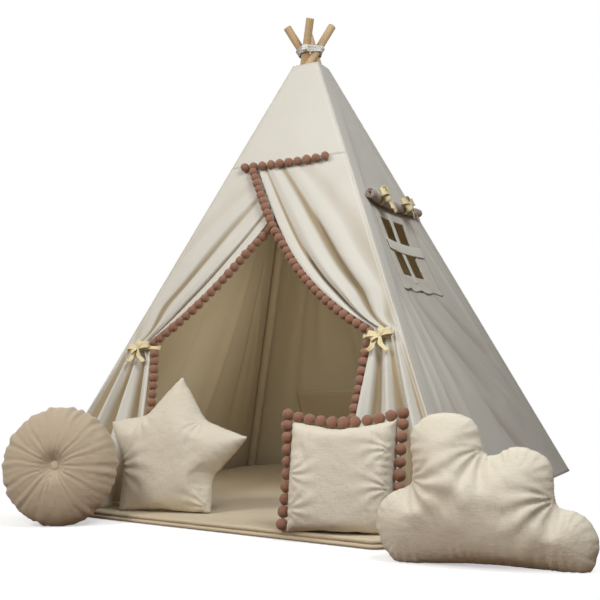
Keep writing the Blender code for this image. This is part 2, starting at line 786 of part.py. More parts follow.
def mat_side_turn(corner):
    """The direction that the straight side after a corner faces."""
    x, y, radius = MAT_CORNERS[corner % 4]
    next_x, next_y, next_radius = MAT_CORNERS[(corner + 1) % 4]
    length = math.hypot(next_x - x, next_y - y)
    return math.atan2(next_y - y, next_x - x) - math.pi / 2 + math.asin((radius - next_radius) / length)


def mat(name):
    """A flat padded mat whose side is two soft rolls, one on the other."""
    roll = MAT_THICKNESS / 2
    profile = ((roll * 0.7, 0), (0, roll * 0.35), (0, roll * 0.75), (roll * 0.3, roll))
    profile += tuple((inset, MAT_THICKNESS - height) for inset, height in reversed(profile[:-1]))
    rings = []
    for inset, height in profile:
        ring = []
        for corner, (x, y, radius) in enumerate(MAT_CORNERS):
            first = mat_side_turn(corner - 1)
            swing = (mat_side_turn(corner) - first) % (2 * math.pi)
            for n in range(MAT_ARC + 1):
                turn = first + swing * n / MAT_ARC
                reach = radius - inset
                ring.append(Vector((x + reach * math.cos(turn), y + reach * math.sin(turn), height)))
        rings.append(ring)
    return rings_solid(name, rings, "mat")


# Cushions


def cushion(name, edge, thickness, shares, segments, colour, middle=(0, 0)):
    """A stuffed cushion: edge(turn) is its sewn outline and thickness(share, turn, room) its half
    thickness at a share of the way out from the middle, where room is the distance to the outline. It
    lies in the X-Z plane, its front towards -Y."""
    turns = [2 * math.pi * n / segments for n in range(segments)]
    seam = [Vector((middle[0] + edge(t) * math.cos(t), 0, middle[1] + edge(t) * math.sin(t))) for t in turns]
    centre = Vector((middle[0], 0, middle[1]))

    def feet(point):
        for a, b in zip(seam, seam[1:] + seam[:1]):
            along = b - a
            yield a + along * clamp((point - a).dot(along) / along.length_squared)

    def room(point):
        return min((point - foot).length for foot in feet(point))

    points, faces = [], []
    inner = shares[1:-1]
    for front in (-1, 1):
        points.append(centre + Vector((0, front * thickness(0, 0, room(centre)), 0)))
        for share in inner:
            for turn, end in zip(turns, seam):
                flat = centre.lerp(end, share)
                points.append(flat + Vector((0, front * thickness(share, turn, room(flat)), 0)))
    rim = len(points)
    points += seam
    half = 1 + len(inner) * segments
    for side in (0, 1):
        first = side * half
        for n in range(segments):
            m = (n + 1) % segments
            faces.append([first, first + 1 + n, first + 1 + m])
            for k in range(len(inner) - 1):
                low, high = first + 1 + k * segments, first + 1 + (k + 1) * segments
                faces.append([low + n, high + n, high + m, low + m])
            last = first + 1 + (len(inner) - 1) * segments
            faces.append([last + n, rim + n, rim + m, last + m])
    return solid(name, points, faces, colour)


def stand(pieces, place, floor, sit=0.0):
    """Leans, turns and sets a cushion and its trim on a surface, its lowest points pressed flat by sit."""
    x, y, turn, lean = place
    turned = Matrix.Rotation(math.radians(turn), 4, "Z") @ Matrix.Rotation(math.radians(-lean), 4, "X")
    for piece in pieces:
        piece.data.transform(turned)
    low = min(v.co.z for piece in pieces for v in piece.data.vertices)
    lift = floor + SEAM_GAP - low - sit
    for piece in pieces:
        piece.data.transform(Matrix.Translation((x, y, lift)))
        for v in piece.data.vertices:
            v.co.z = max(v.co.z, floor + SEAM_GAP)


def plump(half, room, full_at):
    """Half thickness of a stuffed cushion: round at the seam, full where the seam is full_at away."""
    return half * math.sqrt(1 - (1 - clamp(room / full_at)) ** 2)


def round_cushion():
    pleats = 18

    def edge(turn):
        return ROUND_RADIUS * (1 + 0.012 * math.cos(pleats * turn))

    def thickness(share, turn, room):
        tuft = 1 - 0.42 * math.exp(-((share / 0.17) ** 2))
        pleat = 1 + 0.03 * math.cos(pleats * turn) * clamp(share * 3)
        return plump(ROUND_HALF_THICKNESS, room, 0.7 * ROUND_RADIUS) * tuft * pleat

    shares = [0, 0.08, 0.2, 0.42, 0.66, 0.86, 1]
    body = cushion("round_cushion", edge, thickness, shares, 2 * pleats, "round")
    pieces = [body]
    dimple, beside = thickness(0, 0, ROUND_RADIUS), thickness(shares[1], 0, ROUND_RADIUS)
    seat = dimple + (beside - dimple) * 0.85 * BUTTON_RADIUS / (shares[1] * ROUND_RADIUS) + SEAM_GAP
    for way, name in ((-1, "round_cushion_front_button"), (1, "round_cushion_back_button")):
        along = Vector((0, way, 0))
        plan = ((seat, 0.85), (seat + 0.35 * BUTTON_THICKNESS, 1.0), (seat + BUTTON_THICKNESS, 0.6))
        rings = [circle(along * d, along, Vector((0, 0, 1)), BUTTON_RADIUS * s, 12) for d, s in plan]
        pieces.append(rings_solid(name, rings, "button"))
    stand(pieces, ROUND_PLACE, 0.0, CUSHION_SIT)


def star_corners():
    """The star's tips and notches in turn: angle, and distance from the middle."""
    rows = sorted((*STAR_TIPS, *STAR_NOTCHES))
    return [(math.radians(angle), STAR_TIP_REACH * reach) for angle, reach in rows]


def star_edge(turn):
    """Straight sides from tip to notch, a little hollow."""
    corners = star_corners()
    turn = (turn - corners[0][0]) % (2 * math.pi) + corners[0][0]
    corners.append((corners[0][0] + 2 * math.pi, corners[0][1]))
    (a, near), (b, far) = next(pair for pair in zip(corners, corners[1:]) if turn <= pair[1][0] + 1e-9)
    straight = near * far * math.sin(b - a) / (near * math.sin(turn - a) + far * math.sin(b - turn))
    share = (turn - a) / (b - a)
    return straight * (1 - 0.12 * share * (1 - share))


def star_cushion():
    def thickness(share, turn, room):
        return plump(STAR_HALF_THICKNESS, room, 0.52 * STAR_TIP_REACH)

    body = cushion("star_cushion", star_edge, thickness, [0, 0.3, 0.56, 0.78, 0.92, 1], 60, "cushion")
    stand([body], STAR_PLACE, MAT_THICKNESS, CUSHION_SIT)


def pillow_edge(turn):
    """A square whose sides are drawn in, the top one most."""
    x, z = math.cos(turn), math.sin(turn)
    along = min(abs(x), abs(z)) / max(abs(x), abs(z))
    drawn = 0.020 if z > abs(x) else 0.008
    return (PILLOW_HALF - drawn * (1 - along**2)) / max(abs(x), abs(z))


def square_pillow():
    def thickness(share, turn, room):
        return plump(PILLOW_HALF_THICKNESS, room, 0.85 * PILLOW_HALF)

    body = cushion("square_pillow", pillow_edge, thickness, [0, 0.3, 0.58, 0.82, 0.94, 1], 40, "cushion")
    samples = 240
    first, last = PILLOW_TRIM_ENDS
    path = []
    for n in range(samples + 1):
        turn = math.radians(first + (last - first) * n / samples)
        way = Vector((math.cos(turn), 0, math.sin(turn)))
        aside = (POMPOM_RADIUS + PILLOW_TRIM_GAP) / max(abs(way.x), abs(way.z))
        path.append(way * (pillow_edge(turn) + aside))
    trim = pompom_string("square_pillow_pompoms", evenly(path, PILLOW_TRIM_PITCH))
    stand([body, trim], PILLOW_PLACE, MAT_THICKNESS, CUSHION_SIT)


def cloud_edge(turn):
    way = (math.cos(turn), math.sin(turn))
    furthest = 0.0
    for x, z, radius in CLOUD_LOBES:
        dx, dz = x - CLOUD_MIDDLE[0], z - CLOUD_MIDDLE[1]
        along = dx * way[0] + dz * way[1]
        off = dx * dx + dz * dz - along * along
        if off < radius * radius:
            furthest = max(furthest, along + math.sqrt(radius * radius - off))
    return furthest * CLOUD_WIDTH


def cloud_cushion():
    def thickness(share, turn, room):
        return plump(CLOUD_HALF_THICKNESS, room, 0.27 * CLOUD_WIDTH)

    shares = [0, 0.3, 0.58, 0.8, 0.93, 1]
    middle = (CLOUD_MIDDLE[0] * CLOUD_WIDTH, CLOUD_MIDDLE[1] * CLOUD_WIDTH)
    body = cushion("cloud_cushion", cloud_edge, thickness, shares, 60, "cushion", middle)
    stand([body], CLOUD_PLACE, 0.0, CUSHION_SIT)


def build():
    start_empty()
    corners = {"front_left": (-1, -1), "front_right": (1, -1), "rear_right": (1, 1), "rear_left": (-1, 1)}
    for where, corner in corners.items():
        pole(f"pole_{where}", corner)
        sleeve(f"sleeve_{where}", corner)
    lashing_band("lashing_band")
    lashing_knot("lashing_knot")
    front_top_panel("front_top_panel")
    plain_wall("back_wall", "back")
    plain_wall("left_wall", "left")
    window_wall("right_wall")
    window_surround("window_surround")
    window_mullion("window_mullion")
    window_crossbar("window_crossbar")
    blind_roll("window_blind")
    for where, across in zip(("front", "rear"), BLIND_TIE_PLACES):
        blind_tie(f"window_blind_tie_{where}", across)
        middle, along, outward = blind_frame(across)
        out = BLIND_RADIUS + BLIND_TIE_CLEAR + RIBBON + LAYER_GAP + BOW_DEPTH
        bow(f"window_blind_bow_{where}", middle + outward * out, along, outward)
    for where, side in (("left", -1), ("right", 1)):
        curtain(f"{where}_curtain", side)
        curtain_trim(f"{where}_curtain_pompoms", side)
        curtain_tie(f"{where}_curtain_tie", side)
        curtain_bow(f"{where}_curtain_bow", side)
    door_top_trim("door_top_pompoms")
    inner_pocket("inner_pocket")
    mat("mat")
    round_cushion()
    star_cushion()
    square_pillow()
    cloud_cushion()


build()
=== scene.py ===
"""Dressed scene of the kids' teepee: cloth cover over four poles, tied-back curtains with ball trims, a
window with a rolled blind, a padded mat and four stuffed cushions. Metres, +Z up, the door faces -Y."""

import math
import random
from functools import reduce

import bmesh
import bpy
import numpy as np
from mathutils import Matrix, Vector, geometry, noise


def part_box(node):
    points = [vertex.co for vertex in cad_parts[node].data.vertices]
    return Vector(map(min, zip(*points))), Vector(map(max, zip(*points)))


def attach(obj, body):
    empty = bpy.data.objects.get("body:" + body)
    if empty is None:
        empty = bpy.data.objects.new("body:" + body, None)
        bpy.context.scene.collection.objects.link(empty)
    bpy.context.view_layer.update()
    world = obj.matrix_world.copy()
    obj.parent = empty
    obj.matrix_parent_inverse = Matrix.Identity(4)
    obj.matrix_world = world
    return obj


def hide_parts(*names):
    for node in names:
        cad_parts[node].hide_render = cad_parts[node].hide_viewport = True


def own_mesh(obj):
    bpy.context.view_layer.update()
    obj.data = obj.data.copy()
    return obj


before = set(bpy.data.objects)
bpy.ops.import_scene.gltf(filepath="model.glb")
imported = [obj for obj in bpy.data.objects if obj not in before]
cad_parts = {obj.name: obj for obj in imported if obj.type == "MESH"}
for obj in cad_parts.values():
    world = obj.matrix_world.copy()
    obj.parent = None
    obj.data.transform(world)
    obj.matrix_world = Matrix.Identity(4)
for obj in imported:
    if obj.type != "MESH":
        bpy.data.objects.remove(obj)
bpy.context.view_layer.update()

# Sizes shared with the solids
BASE_HALF = 0.60
CROSS_HEIGHT = 1.345
POLE_RADIUS = 0.0125
SEAM_GAP = 0.0003
CANVAS = 0.0022
LAYER_GAP = 0.0006
SLEEVE_RADIUS = 0.0150
SLEEVE_FOOT_GAP = 0.012
SLEEVE_TOP_BELOW_CROSSING = 0.125
HEM_HEIGHT = 0.006
COVER_TOP = 1.32
WALL_SAG = 0.036
BACK_SAG = 0.020
DOOR_TOP = 0.982
WAIST_HEIGHT = 0.462
TIE_HEIGHT = 0.442
TIE_WIDTH = 0.014
CURTAIN_HEM = 0.0235
POMPOM_RADIUS = 0.0118
POMPOM_PITCH = 0.0246
PANE_HALF = 0.098
PANE_BOTTOM = 0.630
PANE_TOP = 0.805
BLIND_HEIGHT = 0.848
BLIND_RADIUS = 0.015
BLIND_HALF = 0.205
MAT_TOP = 0.020

# Sizes of the cloth and trims
BALL_RADIUS = 0.0130
BLIND_TIES = (("front", -0.095, 31), ("rear", 0.105, 47))
EDGE_TURN = 0.0015
PATCH = 0.0014
POCKET_HALF = 0.33
POCKET_LOW = 0.06
POCKET_HIGH = 0.295
SURROUND_LOW = 0.585
SURROUND_HIGH = 0.828
TIE_ARM = 0.0132

TURN = 2 * math.pi
UP = Vector((0, 0, 1))
POLE_LEAN = math.atan2(BASE_HALF * math.sqrt(2), CROSS_HEIGHT)
POLE_OFFSET = 0.0258 * math.sqrt(1 + math.cos(POLE_LEAN) ** 2) / (2 * math.cos(POLE_LEAN))
WALL_LEAN = math.atan2(BASE_HALF - POLE_OFFSET / math.sqrt(2), CROSS_HEIGHT)
CLOTH_CLEAR = (SLEEVE_RADIUS + SEAM_GAP) / math.cos(WALL_LEAN)
AXIS_REACH = POLE_OFFSET / math.sqrt(2) + CLOTH_CLEAR
FOOT_REACH = BASE_HALF + CLOTH_CLEAR
ALONG_X = 1 / math.cos(WALL_LEAN)
WALLS = {
    "front": (Vector((0, -1, 0)), Vector((1, 0, 0))),
    "right": (Vector((1, 0, 0)), Vector((0, 1, 0))),
    "back": (Vector((0, 1, 0)), Vector((1, 0, 0))),
    "left": (Vector((-1, 0, 0)), Vector((0, 1, 0))),
}
OUT = {side: ways[0] * math.cos(WALL_LEAN) + UP * math.sin(WALL_LEAN) for side, ways in WALLS.items()}


def clamp(value):
    return np.clip(value, 0.0, 1.0)


def ease(value):
    value = clamp(value)
    return value * value * (3 - 2 * value)


def bump_at(value, middle, width):
    return np.exp(-(((value - middle) / width) ** 2))


# Materials


class Flow:
    """A value that a node gives. Its sums and products are nodes too."""

    def __init__(self, tree, socket):
        self.tree = tree
        self.socket = socket

    def maths(self, operation, other=0.0):
        return flow(self.tree, "Math", {0: self, 1: other}, operation=operation)

    def __add__(self, other):
        return self.maths("ADD", other)

    def __sub__(self, other):
        return self.maths("SUBTRACT", other)

    def __mul__(self, other):
        return self.maths("MULTIPLY", other)


def plug(tree, socket, value):
    """Links a socket to what a node gives, or sets its constant."""
    if isinstance(value, Flow):
        tree.links.new(value.socket, socket)
    else:
        socket.default_value = (*value, 1) if socket.type == "RGBA" else value


def put(tree, kind, inputs=None, **settings):
    node = tree.nodes.new("ShaderNode" + kind)
    for key, value in settings.items():
        setattr(node, key, value)
    for key, value in (inputs or {}).items():
        plug(tree, node.inputs[key], value)
    return node


def flow(tree, kind, inputs=None, output=0, **settings):
    return Flow(tree, put(tree, kind, inputs, **settings).outputs[output])


def split(tree, vector, *which):
    parts = put(tree, "SeparateXYZ", {0: vector}).outputs
    return [Flow(tree, parts[n]) for n in which]


def mixed(tree, share, a, b):
    node = put(tree, "Mix", {0: share}, data_type="RGBA")
    for socket, value in zip([s for s in node.inputs if s.type == "RGBA"], (a, b)):
        plug(tree, socket, value)
    return Flow(tree, [s for s in node.outputs if s.type == "RGBA"][0])


def falling(tree, value, low, high):
    """1 up to low, 0 from high on."""
    limits = {"From Min": low, "From Max": high, "To Min": 1.0, "To Max": 0.0}
    return flow(tree, "MapRange", {"Value": value, **limits})


def noise_of(tree, vector, scale, detail=3.0, rough=0.55, stretch=None):
    if stretch:
        vector = flow(tree, "Mapping", {"Vector": vector, "Scale": stretch})
    inputs = {"Vector": vector, "Scale": scale, "Detail": detail, "Roughness": rough}
    return flow(tree, "TexNoise", inputs, "Fac")


def shader_of(name, colour, rough, sheen=0.0, specular=0.3):
    """A new material with its constant values on the shader's own sockets."""
    made = bpy.data.materials.new(name)
    made.use_nodes = True
    made.diffuse_color = (*colour, 1)
    shader = made.node_tree.nodes["Principled BSDF"]
    constants = {"Base Color": (*colour, 1), "Roughness": rough, "Specular IOR Level": specular,
                 "Sheen Weight": sheen, "Sheen Roughness": 0.5}
    for key, value in constants.items():
        shader.inputs[key].default_value = value
    return made, made.node_tree, shader


def surface(tree, shader, base, height, strength, distance=0.0006):
    """Links a material's colour and the relief of its surface."""
    plug(tree, shader.inputs["Base Color"], base)
    rise = flow(tree, "Bump", {"Height": height, "Strength": strength, "Distance": distance})
    plug(tree, shader.inputs["Normal"], rise)


def fabric(name, colour, shade, pitch=0.0011, rough=0.9, sheen=0.15, flat=True, stitched=(), hem=0.0,
           bump=0.35, crumpled=3.5, fold_shade=None):
    """Woven cloth. flat cloth is mapped in metres by its own coordinates, other cloth by the object's.
    stitched holds how far from the cloth's edge its rows of thread run, fold_shade the painted shade deep in
    folds."""
    made, tree, shader = shader_of(name, colour, rough, sheen)
    place = flow(tree, "TexCoord", output="Object")
    along = flow(tree, "UVMap", uv_map="cloth") if flat else place
    warp, weft = ((way * (math.pi / pitch)).maths("SINE") for way in split(tree, along, 0, 1 if flat else 2))
    stretches = ((1, 14, 1), (14, 1, 14)) if flat else ((1, 1, 14), (14, 14, 1))
    slub_a, slub_b = (noise_of(tree, along, 30.0, stretch=stretch) for stretch in stretches)
    slubs = slub_a + slub_b
    base = mixed(tree, (slubs - 1.0) * 0.35 + noise_of(tree, place, 3.2, 4.0), shade, colour)
    height = warp * weft * 0.35 + slubs * 1.2 + noise_of(tree, place, 26.0, 5.0, 0.6) * crumpled
    # Painted shade: the colour goes towards fold_shade as far as the fold map says a point lies deep in a
    # fold
    if fold_shade:
        base = mixed(tree, split(tree, flow(tree, "UVMap", uv_map="fold"), 0)[0], base, fold_shade)
    if stitched:
        run, inward = split(tree, flow(tree, "UVMap", uv_map="edge"), 0, 1)
        off = [(inward - distance).maths("ABSOLUTE") for distance in stitched]
        row, dent = (reduce(lambda a, b: a.maths("MAXIMUM", b), found) for found in (
            [o.maths("LESS_THAN", 0.0007) for o in off], [falling(tree, o, 0.0004, 0.0034) for o in off]))
        thread = row * run.maths("DIVIDE", 0.0046).maths("FRACT").maths("LESS_THAN", 0.66)
        # Painted shade: the cloth is darkened in the dent beside each row of thread
        base = mixed(tree, dent * 0.12, base, [c * 0.62 for c in shade])
        base = mixed(tree, thread * 0.7, base, [min(1, c * 1.12) for c in colour])
        height = height + thread * 4.0 - dent * 3.0
        if hem:
            step = falling(tree, inward, hem - 0.0006, hem + 0.0006)
            height = height + step * 3.0
            base = mixed(tree, step * 0.22, base, [min(1, c * 1.08) for c in colour])
    surface(tree, shader, base, height, bump)
    return made


def plush(name, colour, shade):
    """Short cut pile of the trim balls."""
    made, tree, shader = shader_of(name, colour, 0.95, 0.35, 0.15)
    place = flow(tree, "TexCoord", output="Object")
    tufts = noise_of(tree, place, 420.0, 4.0, 0.7)
    base = mixed(tree, tufts * 0.9 + noise_of(tree, place, 60.0, 2.0) * 0.35, shade, colour)
    surface(tree, shader, base, tufts, 0.8, 0.0015)
    return made


def pine(name, axis):
    """Planed softwood whose grain runs along a pole."""
    made, tree, shader = shader_of(name, (0.56, 0.40, 0.23), 0.48)
    turn = axis.rotation_difference(UP).to_euler()
    level = flow(tree, "Mapping", {"Vector": flow(tree, "TexCoord", output="Object"), "Rotation": turn})
    grain = noise_of(tree, level, 1.0, 5.0, 0.65, stretch=(150.0, 150.0, 4.0))
    rings = noise_of(tree, level, 1.0, 2.0, 0.5, stretch=(38.0, 38.0, 1.6))
    spots = flow(tree, "Mapping", {"Vector": level, "Scale": (45.0, 45.0, 3.0)})
    knots = flow(tree, "TexVoronoi", {"Vector": spots, "Scale": 1.0}, "Distance")
    base = mixed(tree, rings, (0.44, 0.29, 0.15), (0.66, 0.50, 0.31))
    base = mixed(tree, grain * 0.55, base, (0.50, 0.34, 0.18))
    base = mixed(tree, falling(tree, knots, 0.03, 0.20) * 0.6, base, (0.26, 0.14, 0.06))
    surface(tree, shader, base, grain, 0.25)
    return made


# The outside canvas gets painted shade deep in its folds
canvas_out = fabric("canvas_outside", (0.69, 0.66, 0.595), (0.595, 0.565, 0.50), stitched=(0.006, 0.011),
                    hem=0.014, crumpled=5.5, fold_shade=(0.34, 0.265, 0.165))
# Painted shade: the inside face is the same canvas, coloured darker and warmer for the shade and warm bounce
# inside the tent
canvas_in_shaded = fabric("canvas_inside_shaded", (0.66, 0.58, 0.42), (0.57, 0.49, 0.34), stitched=(0.006,), hem=0.014)
# Painted shade: the sleeves are the same canvas, coloured like the inside face for the shade inside the tent
sleeve_canvas_shaded = fabric("canvas_sleeve_shaded", (0.66, 0.57, 0.41), (0.56, 0.48, 0.33), flat=False)
canvas_patch = fabric("canvas_patch", (0.70, 0.655, 0.575), (0.62, 0.57, 0.49), stitched=(0.005, 0.010),
                      hem=0.013)
canvas_bar = fabric("canvas_bar", (0.80, 0.765, 0.68), (0.72, 0.68, 0.60), stitched=(0.004,))
pocket_cloth = fabric("pocket_cloth", (0.60, 0.50, 0.34), (0.50, 0.41, 0.27), stitched=(0.005, 0.010),
                      hem=0.022)
blind_cloth = fabric("blind_cloth", (0.50, 0.43, 0.38), (0.36, 0.29, 0.25), pitch=0.0009)
ribbon_cloth = fabric("ribbon_cloth", (0.82, 0.72, 0.45), (0.70, 0.58, 0.33), pitch=0.0006, rough=0.6,
                      bump=0.2)
mat_cloth = fabric("mat_cloth", (0.66, 0.56, 0.41), (0.56, 0.46, 0.32), flat=False, bump=0.5)
cushion_cloth = fabric("cushion_cloth", (0.79, 0.735, 0.62), (0.69, 0.61, 0.48), flat=False, bump=0.7,
                       pitch=0.0009, crumpled=8.0)
round_cloth = fabric("round_cloth", (0.60, 0.495, 0.365), (0.50, 0.40, 0.28), flat=False, sheen=0.4, bump=0.7,
                     crumpled=8.0)
button_cloth = fabric("button_cloth", (0.64, 0.535, 0.405), (0.54, 0.445, 0.32), flat=False, pitch=0.0008)
cord_cloth = fabric("cord_cloth", (0.84, 0.83, 0.80), (0.70, 0.68, 0.64), flat=False, pitch=0.0007)
ball_plush = plush("ball_plush", (0.36, 0.185, 0.12), (0.22, 0.10, 0.06))


# Mesh helpers


def placed(name, data):
    made = bpy.data.objects.new(name, data)
    bpy.context.scene.collection.objects.link(made)
    return made


def even_normals(mesh):
    """Turns all faces outward, and drops points that no face uses."""
    work = bmesh.new()
    work.from_mesh(mesh)
    bmesh.ops.delete(work, geom=[v for v in work.verts if not v.link_faces], context="VERTS")
    bmesh.ops.recalc_face_normals(work, faces=work.faces)
    work.to_mesh(mesh)
    work.free()


def piece(name, body, node, points, faces, materials, which=None, maps=None):
    """An object that rides a body and stands for a node. maps holds its named layers' values per point."""
    mesh = bpy.data.meshes.new(name)
    mesh.from_pydata([tuple(map(float, p)) for p in points], [], [tuple(map(int, f)) for f in faces])
    for used in materials:
        mesh.materials.append(used)
    if which is not None:
        mesh.polygons.foreach_set("material_index", np.asarray(which, np.int32))
    corners = np.zeros(len(mesh.loops), np.int32)
    mesh.loops.foreach_get("vertex_index", corners)
    for label, values in (maps or {}).items():
        layer = mesh.uv_layers.new(name=label)
        layer.uv.foreach_set("vector", np.asarray(values, np.float32)[corners].ravel())
    mesh.shade_smooth()
    even_normals(mesh)
    made = placed(name, mesh)
    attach(made, body)
    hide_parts(node)
    if body.endswith("_cover"):
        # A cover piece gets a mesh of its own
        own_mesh(made)
    return made


def normals_of(grid, away=None):
    normal = np.cross(np.gradient(grid, axis=1), np.gradient(grid, axis=0))
    normal /= np.maximum(np.linalg.norm(normal, axis=2, keepdims=True), 1e-12)
    if away is not None and (normal @ np.array(away)).mean() < 0:
        normal = -normal
    return normal


def slab(outer, inner, left_out=None):
    """Points, faces and sides (0 outside, 1 inside) of the thin closed sheet between two grids of points."""
    columns = outer.shape[1]
    points = np.concatenate([outer.reshape(-1, 3), inner.reshape(-1, 3)])
    count = len(points) // 2
    kept = np.ones((len(outer) - 1, columns - 1), bool) if left_out is None else ~left_out
    faces, sides, border = [], [], {}
    for i, j in np.argwhere(kept):
        a = i * columns + j
        ring = (a, a + 1, a + columns + 1, a + columns)
        faces += [ring, tuple(n + count for n in reversed(ring))]
        sides += [0, 1]
        for p, q in zip(ring, ring[1:] + ring[:1]):
            if (q, p) in border:
                del border[q, p]
            else:
                border[p, q] = True
    faces += [(q, p, p + count, q + count) for p, q in border]
    return points, faces, sides + [0] * len(border)


def skin(rings, sides, loop=False):
    """Faces between rings of points, with two end faces, or else from the last ring back to the first."""
    faces = []
    for k in range(rings if loop else rings - 1):
        low, high = k * sides, (k + 1) % rings * sides
        for n in range(sides):
            m = (n + 1) % sides
            faces.append((low + n, low + m, high + m, high + n))
    if not loop:
        faces += [tuple(range(sides)), tuple(range((rings - 1) * sides, rings * sides))]
    return faces


def cloth(node, body, grid, coords, edge, materials, thick, left_out=None, slot="canvas", fold_shade=None,
          name=None, **sheet):
    """A thin sheet object. coords and edge are per grid point: metres on the flat cloth, and how far along
    and how far from the nearest sewn edge. fold_shade is how much painted shade a point gets, from 0 to 1."""
    away = OUT[body.split("_")[0]]
    points, faces, sides = slab(grid, grid - normals_of(grid, away) * thick, left_out)
    fold_shade = np.zeros(grid.shape[:2]) if fold_shade is None else clamp(fold_shade)
    # The fold map carries how much painted shade each point gets
    layers = {"cloth": coords, "edge": edge, "fold": np.stack([fold_shade, fold_shade], axis=-1)}
    maps = {label: np.concatenate([values.reshape(-1, 2)] * 2) for label, values in layers.items()}
    return piece(name or f"{node}_cloth", body, node, points, faces, materials, sides, maps)


def joined(name, body, node, parts, material, unroll=None):
    """One object from several (points, faces) parts. unroll gives a point's place on the flat cloth."""
    points, faces = [], []
    for some, rings in parts:
        start = len(points)
        points += [Vector(p) for p in some]
        faces += [tuple(n + start for n in ring) for ring in rings]
    maps = {"cloth": [unroll(p) for p in points]} if unroll else None
    return piece(name, body, node, points, faces, [material], maps=maps)


def ways_of(path):
    """The way that a path runs at each of its points."""
    return [(path[min(k + 1, len(path) - 1)] - path[max(k - 1, 0)]).normalized() for k in range(len(path))]


def tube(path, radius, sides, laid=0.0):
    """Points and faces of a round tube along a path. laid is how deep its three twisted strands are."""
    points = []
    run = 0.0
    side = None
    for k, (middle, ahead) in enumerate(zip(path, ways_of(path))):
        side = (side - ahead * side.dot(ahead)).normalized() if side else ahead.cross(UP).normalized()
        other = ahead.cross(side)
        if k:
            run += (middle - path[k - 1]).length
        wide = radius[k] if isinstance(radius, list) else radius
        for n in range(sides):
            turn = TURN * n / sides
            swell = wide * (1 + laid * math.cos(3 * (turn - 330.0 * run)))
            points.append(middle + swell * (side * math.cos(turn) + other * math.sin(turn)))
    return points, skin(len(path), sides)


def ribbon(path, ways, widths, thick=0.0009, cup=0.0):
    """Points and faces of a flat ribbon: its middle line, the way its width goes, and its width."""
    rows = []
    for middle, ahead, way, width in zip(path, ways_of(path), ways, widths):
        way = way.normalized()
        face = ahead.cross(way).normalized()
        rows.append([middle + way * share * width / 2 + face * cup * (share**2 - 0.4)
                     for share in (-1, -0.6, -0.2, 0.2, 0.6, 1)])
    grid = np.array(rows)
    half = normals_of(grid) * thick / 2
    return slab(grid + half, grid - half)[:2]


def wobble(places, scale, seed):
    """Smooth noise from -1 to 1 at many places."""
    shift = Vector((seed * 7.3, seed * 3.1, seed * 5.7))
    flat = np.asarray(places, float).reshape(-1, 3)
    found = [noise.noise(Vector(p) * scale + shift) for p in flat]
    return np.array(found).reshape(np.asarray(places).shape[:-1])


def spread(knots, *counts):
    """Places from knot to knot, each stretch in its own count of equal steps; one count does for all."""
    found = [knots[0]]
    counts = counts if len(counts) > 1 else counts * (len(knots) - 1)
    for low, high, count in zip(knots, knots[1:], counts):
        found += [low + (high - low) * (n + 1) / count for n in range(count)]
    return found


def on_flat(across, tall):
    return np.stack([across, tall * ALONG_X], axis=-1)


def one(value):
    return float(np.asarray(value).ravel()[0])


# Cover


def reach_at(height):
    return AXIS_REACH + (FOOT_REACH - AXIS_REACH) * (1 - height / CROSS_HEIGHT)


def seam_strip(height):
    return CLOTH_CLEAR + SLEEVE_RADIUS + math.sqrt(2) * POLE_OFFSET * height / CROSS_HEIGHT + 0.012


def wall_points(side, across, height, out):
    """Points of a wall for arrays of places on it; out is counted level from its inner face."""
    outward, sideways = (np.array(v) for v in WALLS[side])
    reach = reach_at(height) + out
    level = reach[..., None] * outward + across[..., None] * sideways
    return level + height[..., None] * np.array(UP)


def sag_at(side, across, height):
    most = {"front": 0.0, "right": WALL_SAG, "left": WALL_SAG, "back": BACK_SAG}[side]
    strip = np.maximum(reach_at(height) - seam_strip(height), 0.35 * reach_at(height))
    share = clamp(1 - (across / strip) ** 2)
    belly = np.sin(np.pi * clamp(height / COVER_TOP) ** 0.8)
    narrow = clamp(strip / 0.24) * ease((COVER_TOP - height) / 0.3)
    return most * share * (0.25 + 0.75 * belly) * narrow


def crease(across, height, x, z, end_x, end_z, width, depth):
    """A soft ridge, or a hollow if depth is below 0, along a line on the cloth. It starts narrow."""
    way = np.array((end_x - x, end_z - z))
    length = np.hypot(*way)
    way = way / length
    along = ((across - x) * way[0] + (height - z) * way[1]) / length
    off = -(across - x) * way[1] + (height - z) * way[0]
    fade = np.sin(np.pi * clamp((along + 0.06) / 1.12)) ** 0.7
    return depth * fade * bump_at(off, 0.0, width * (0.55 + 0.9 * clamp(along)))


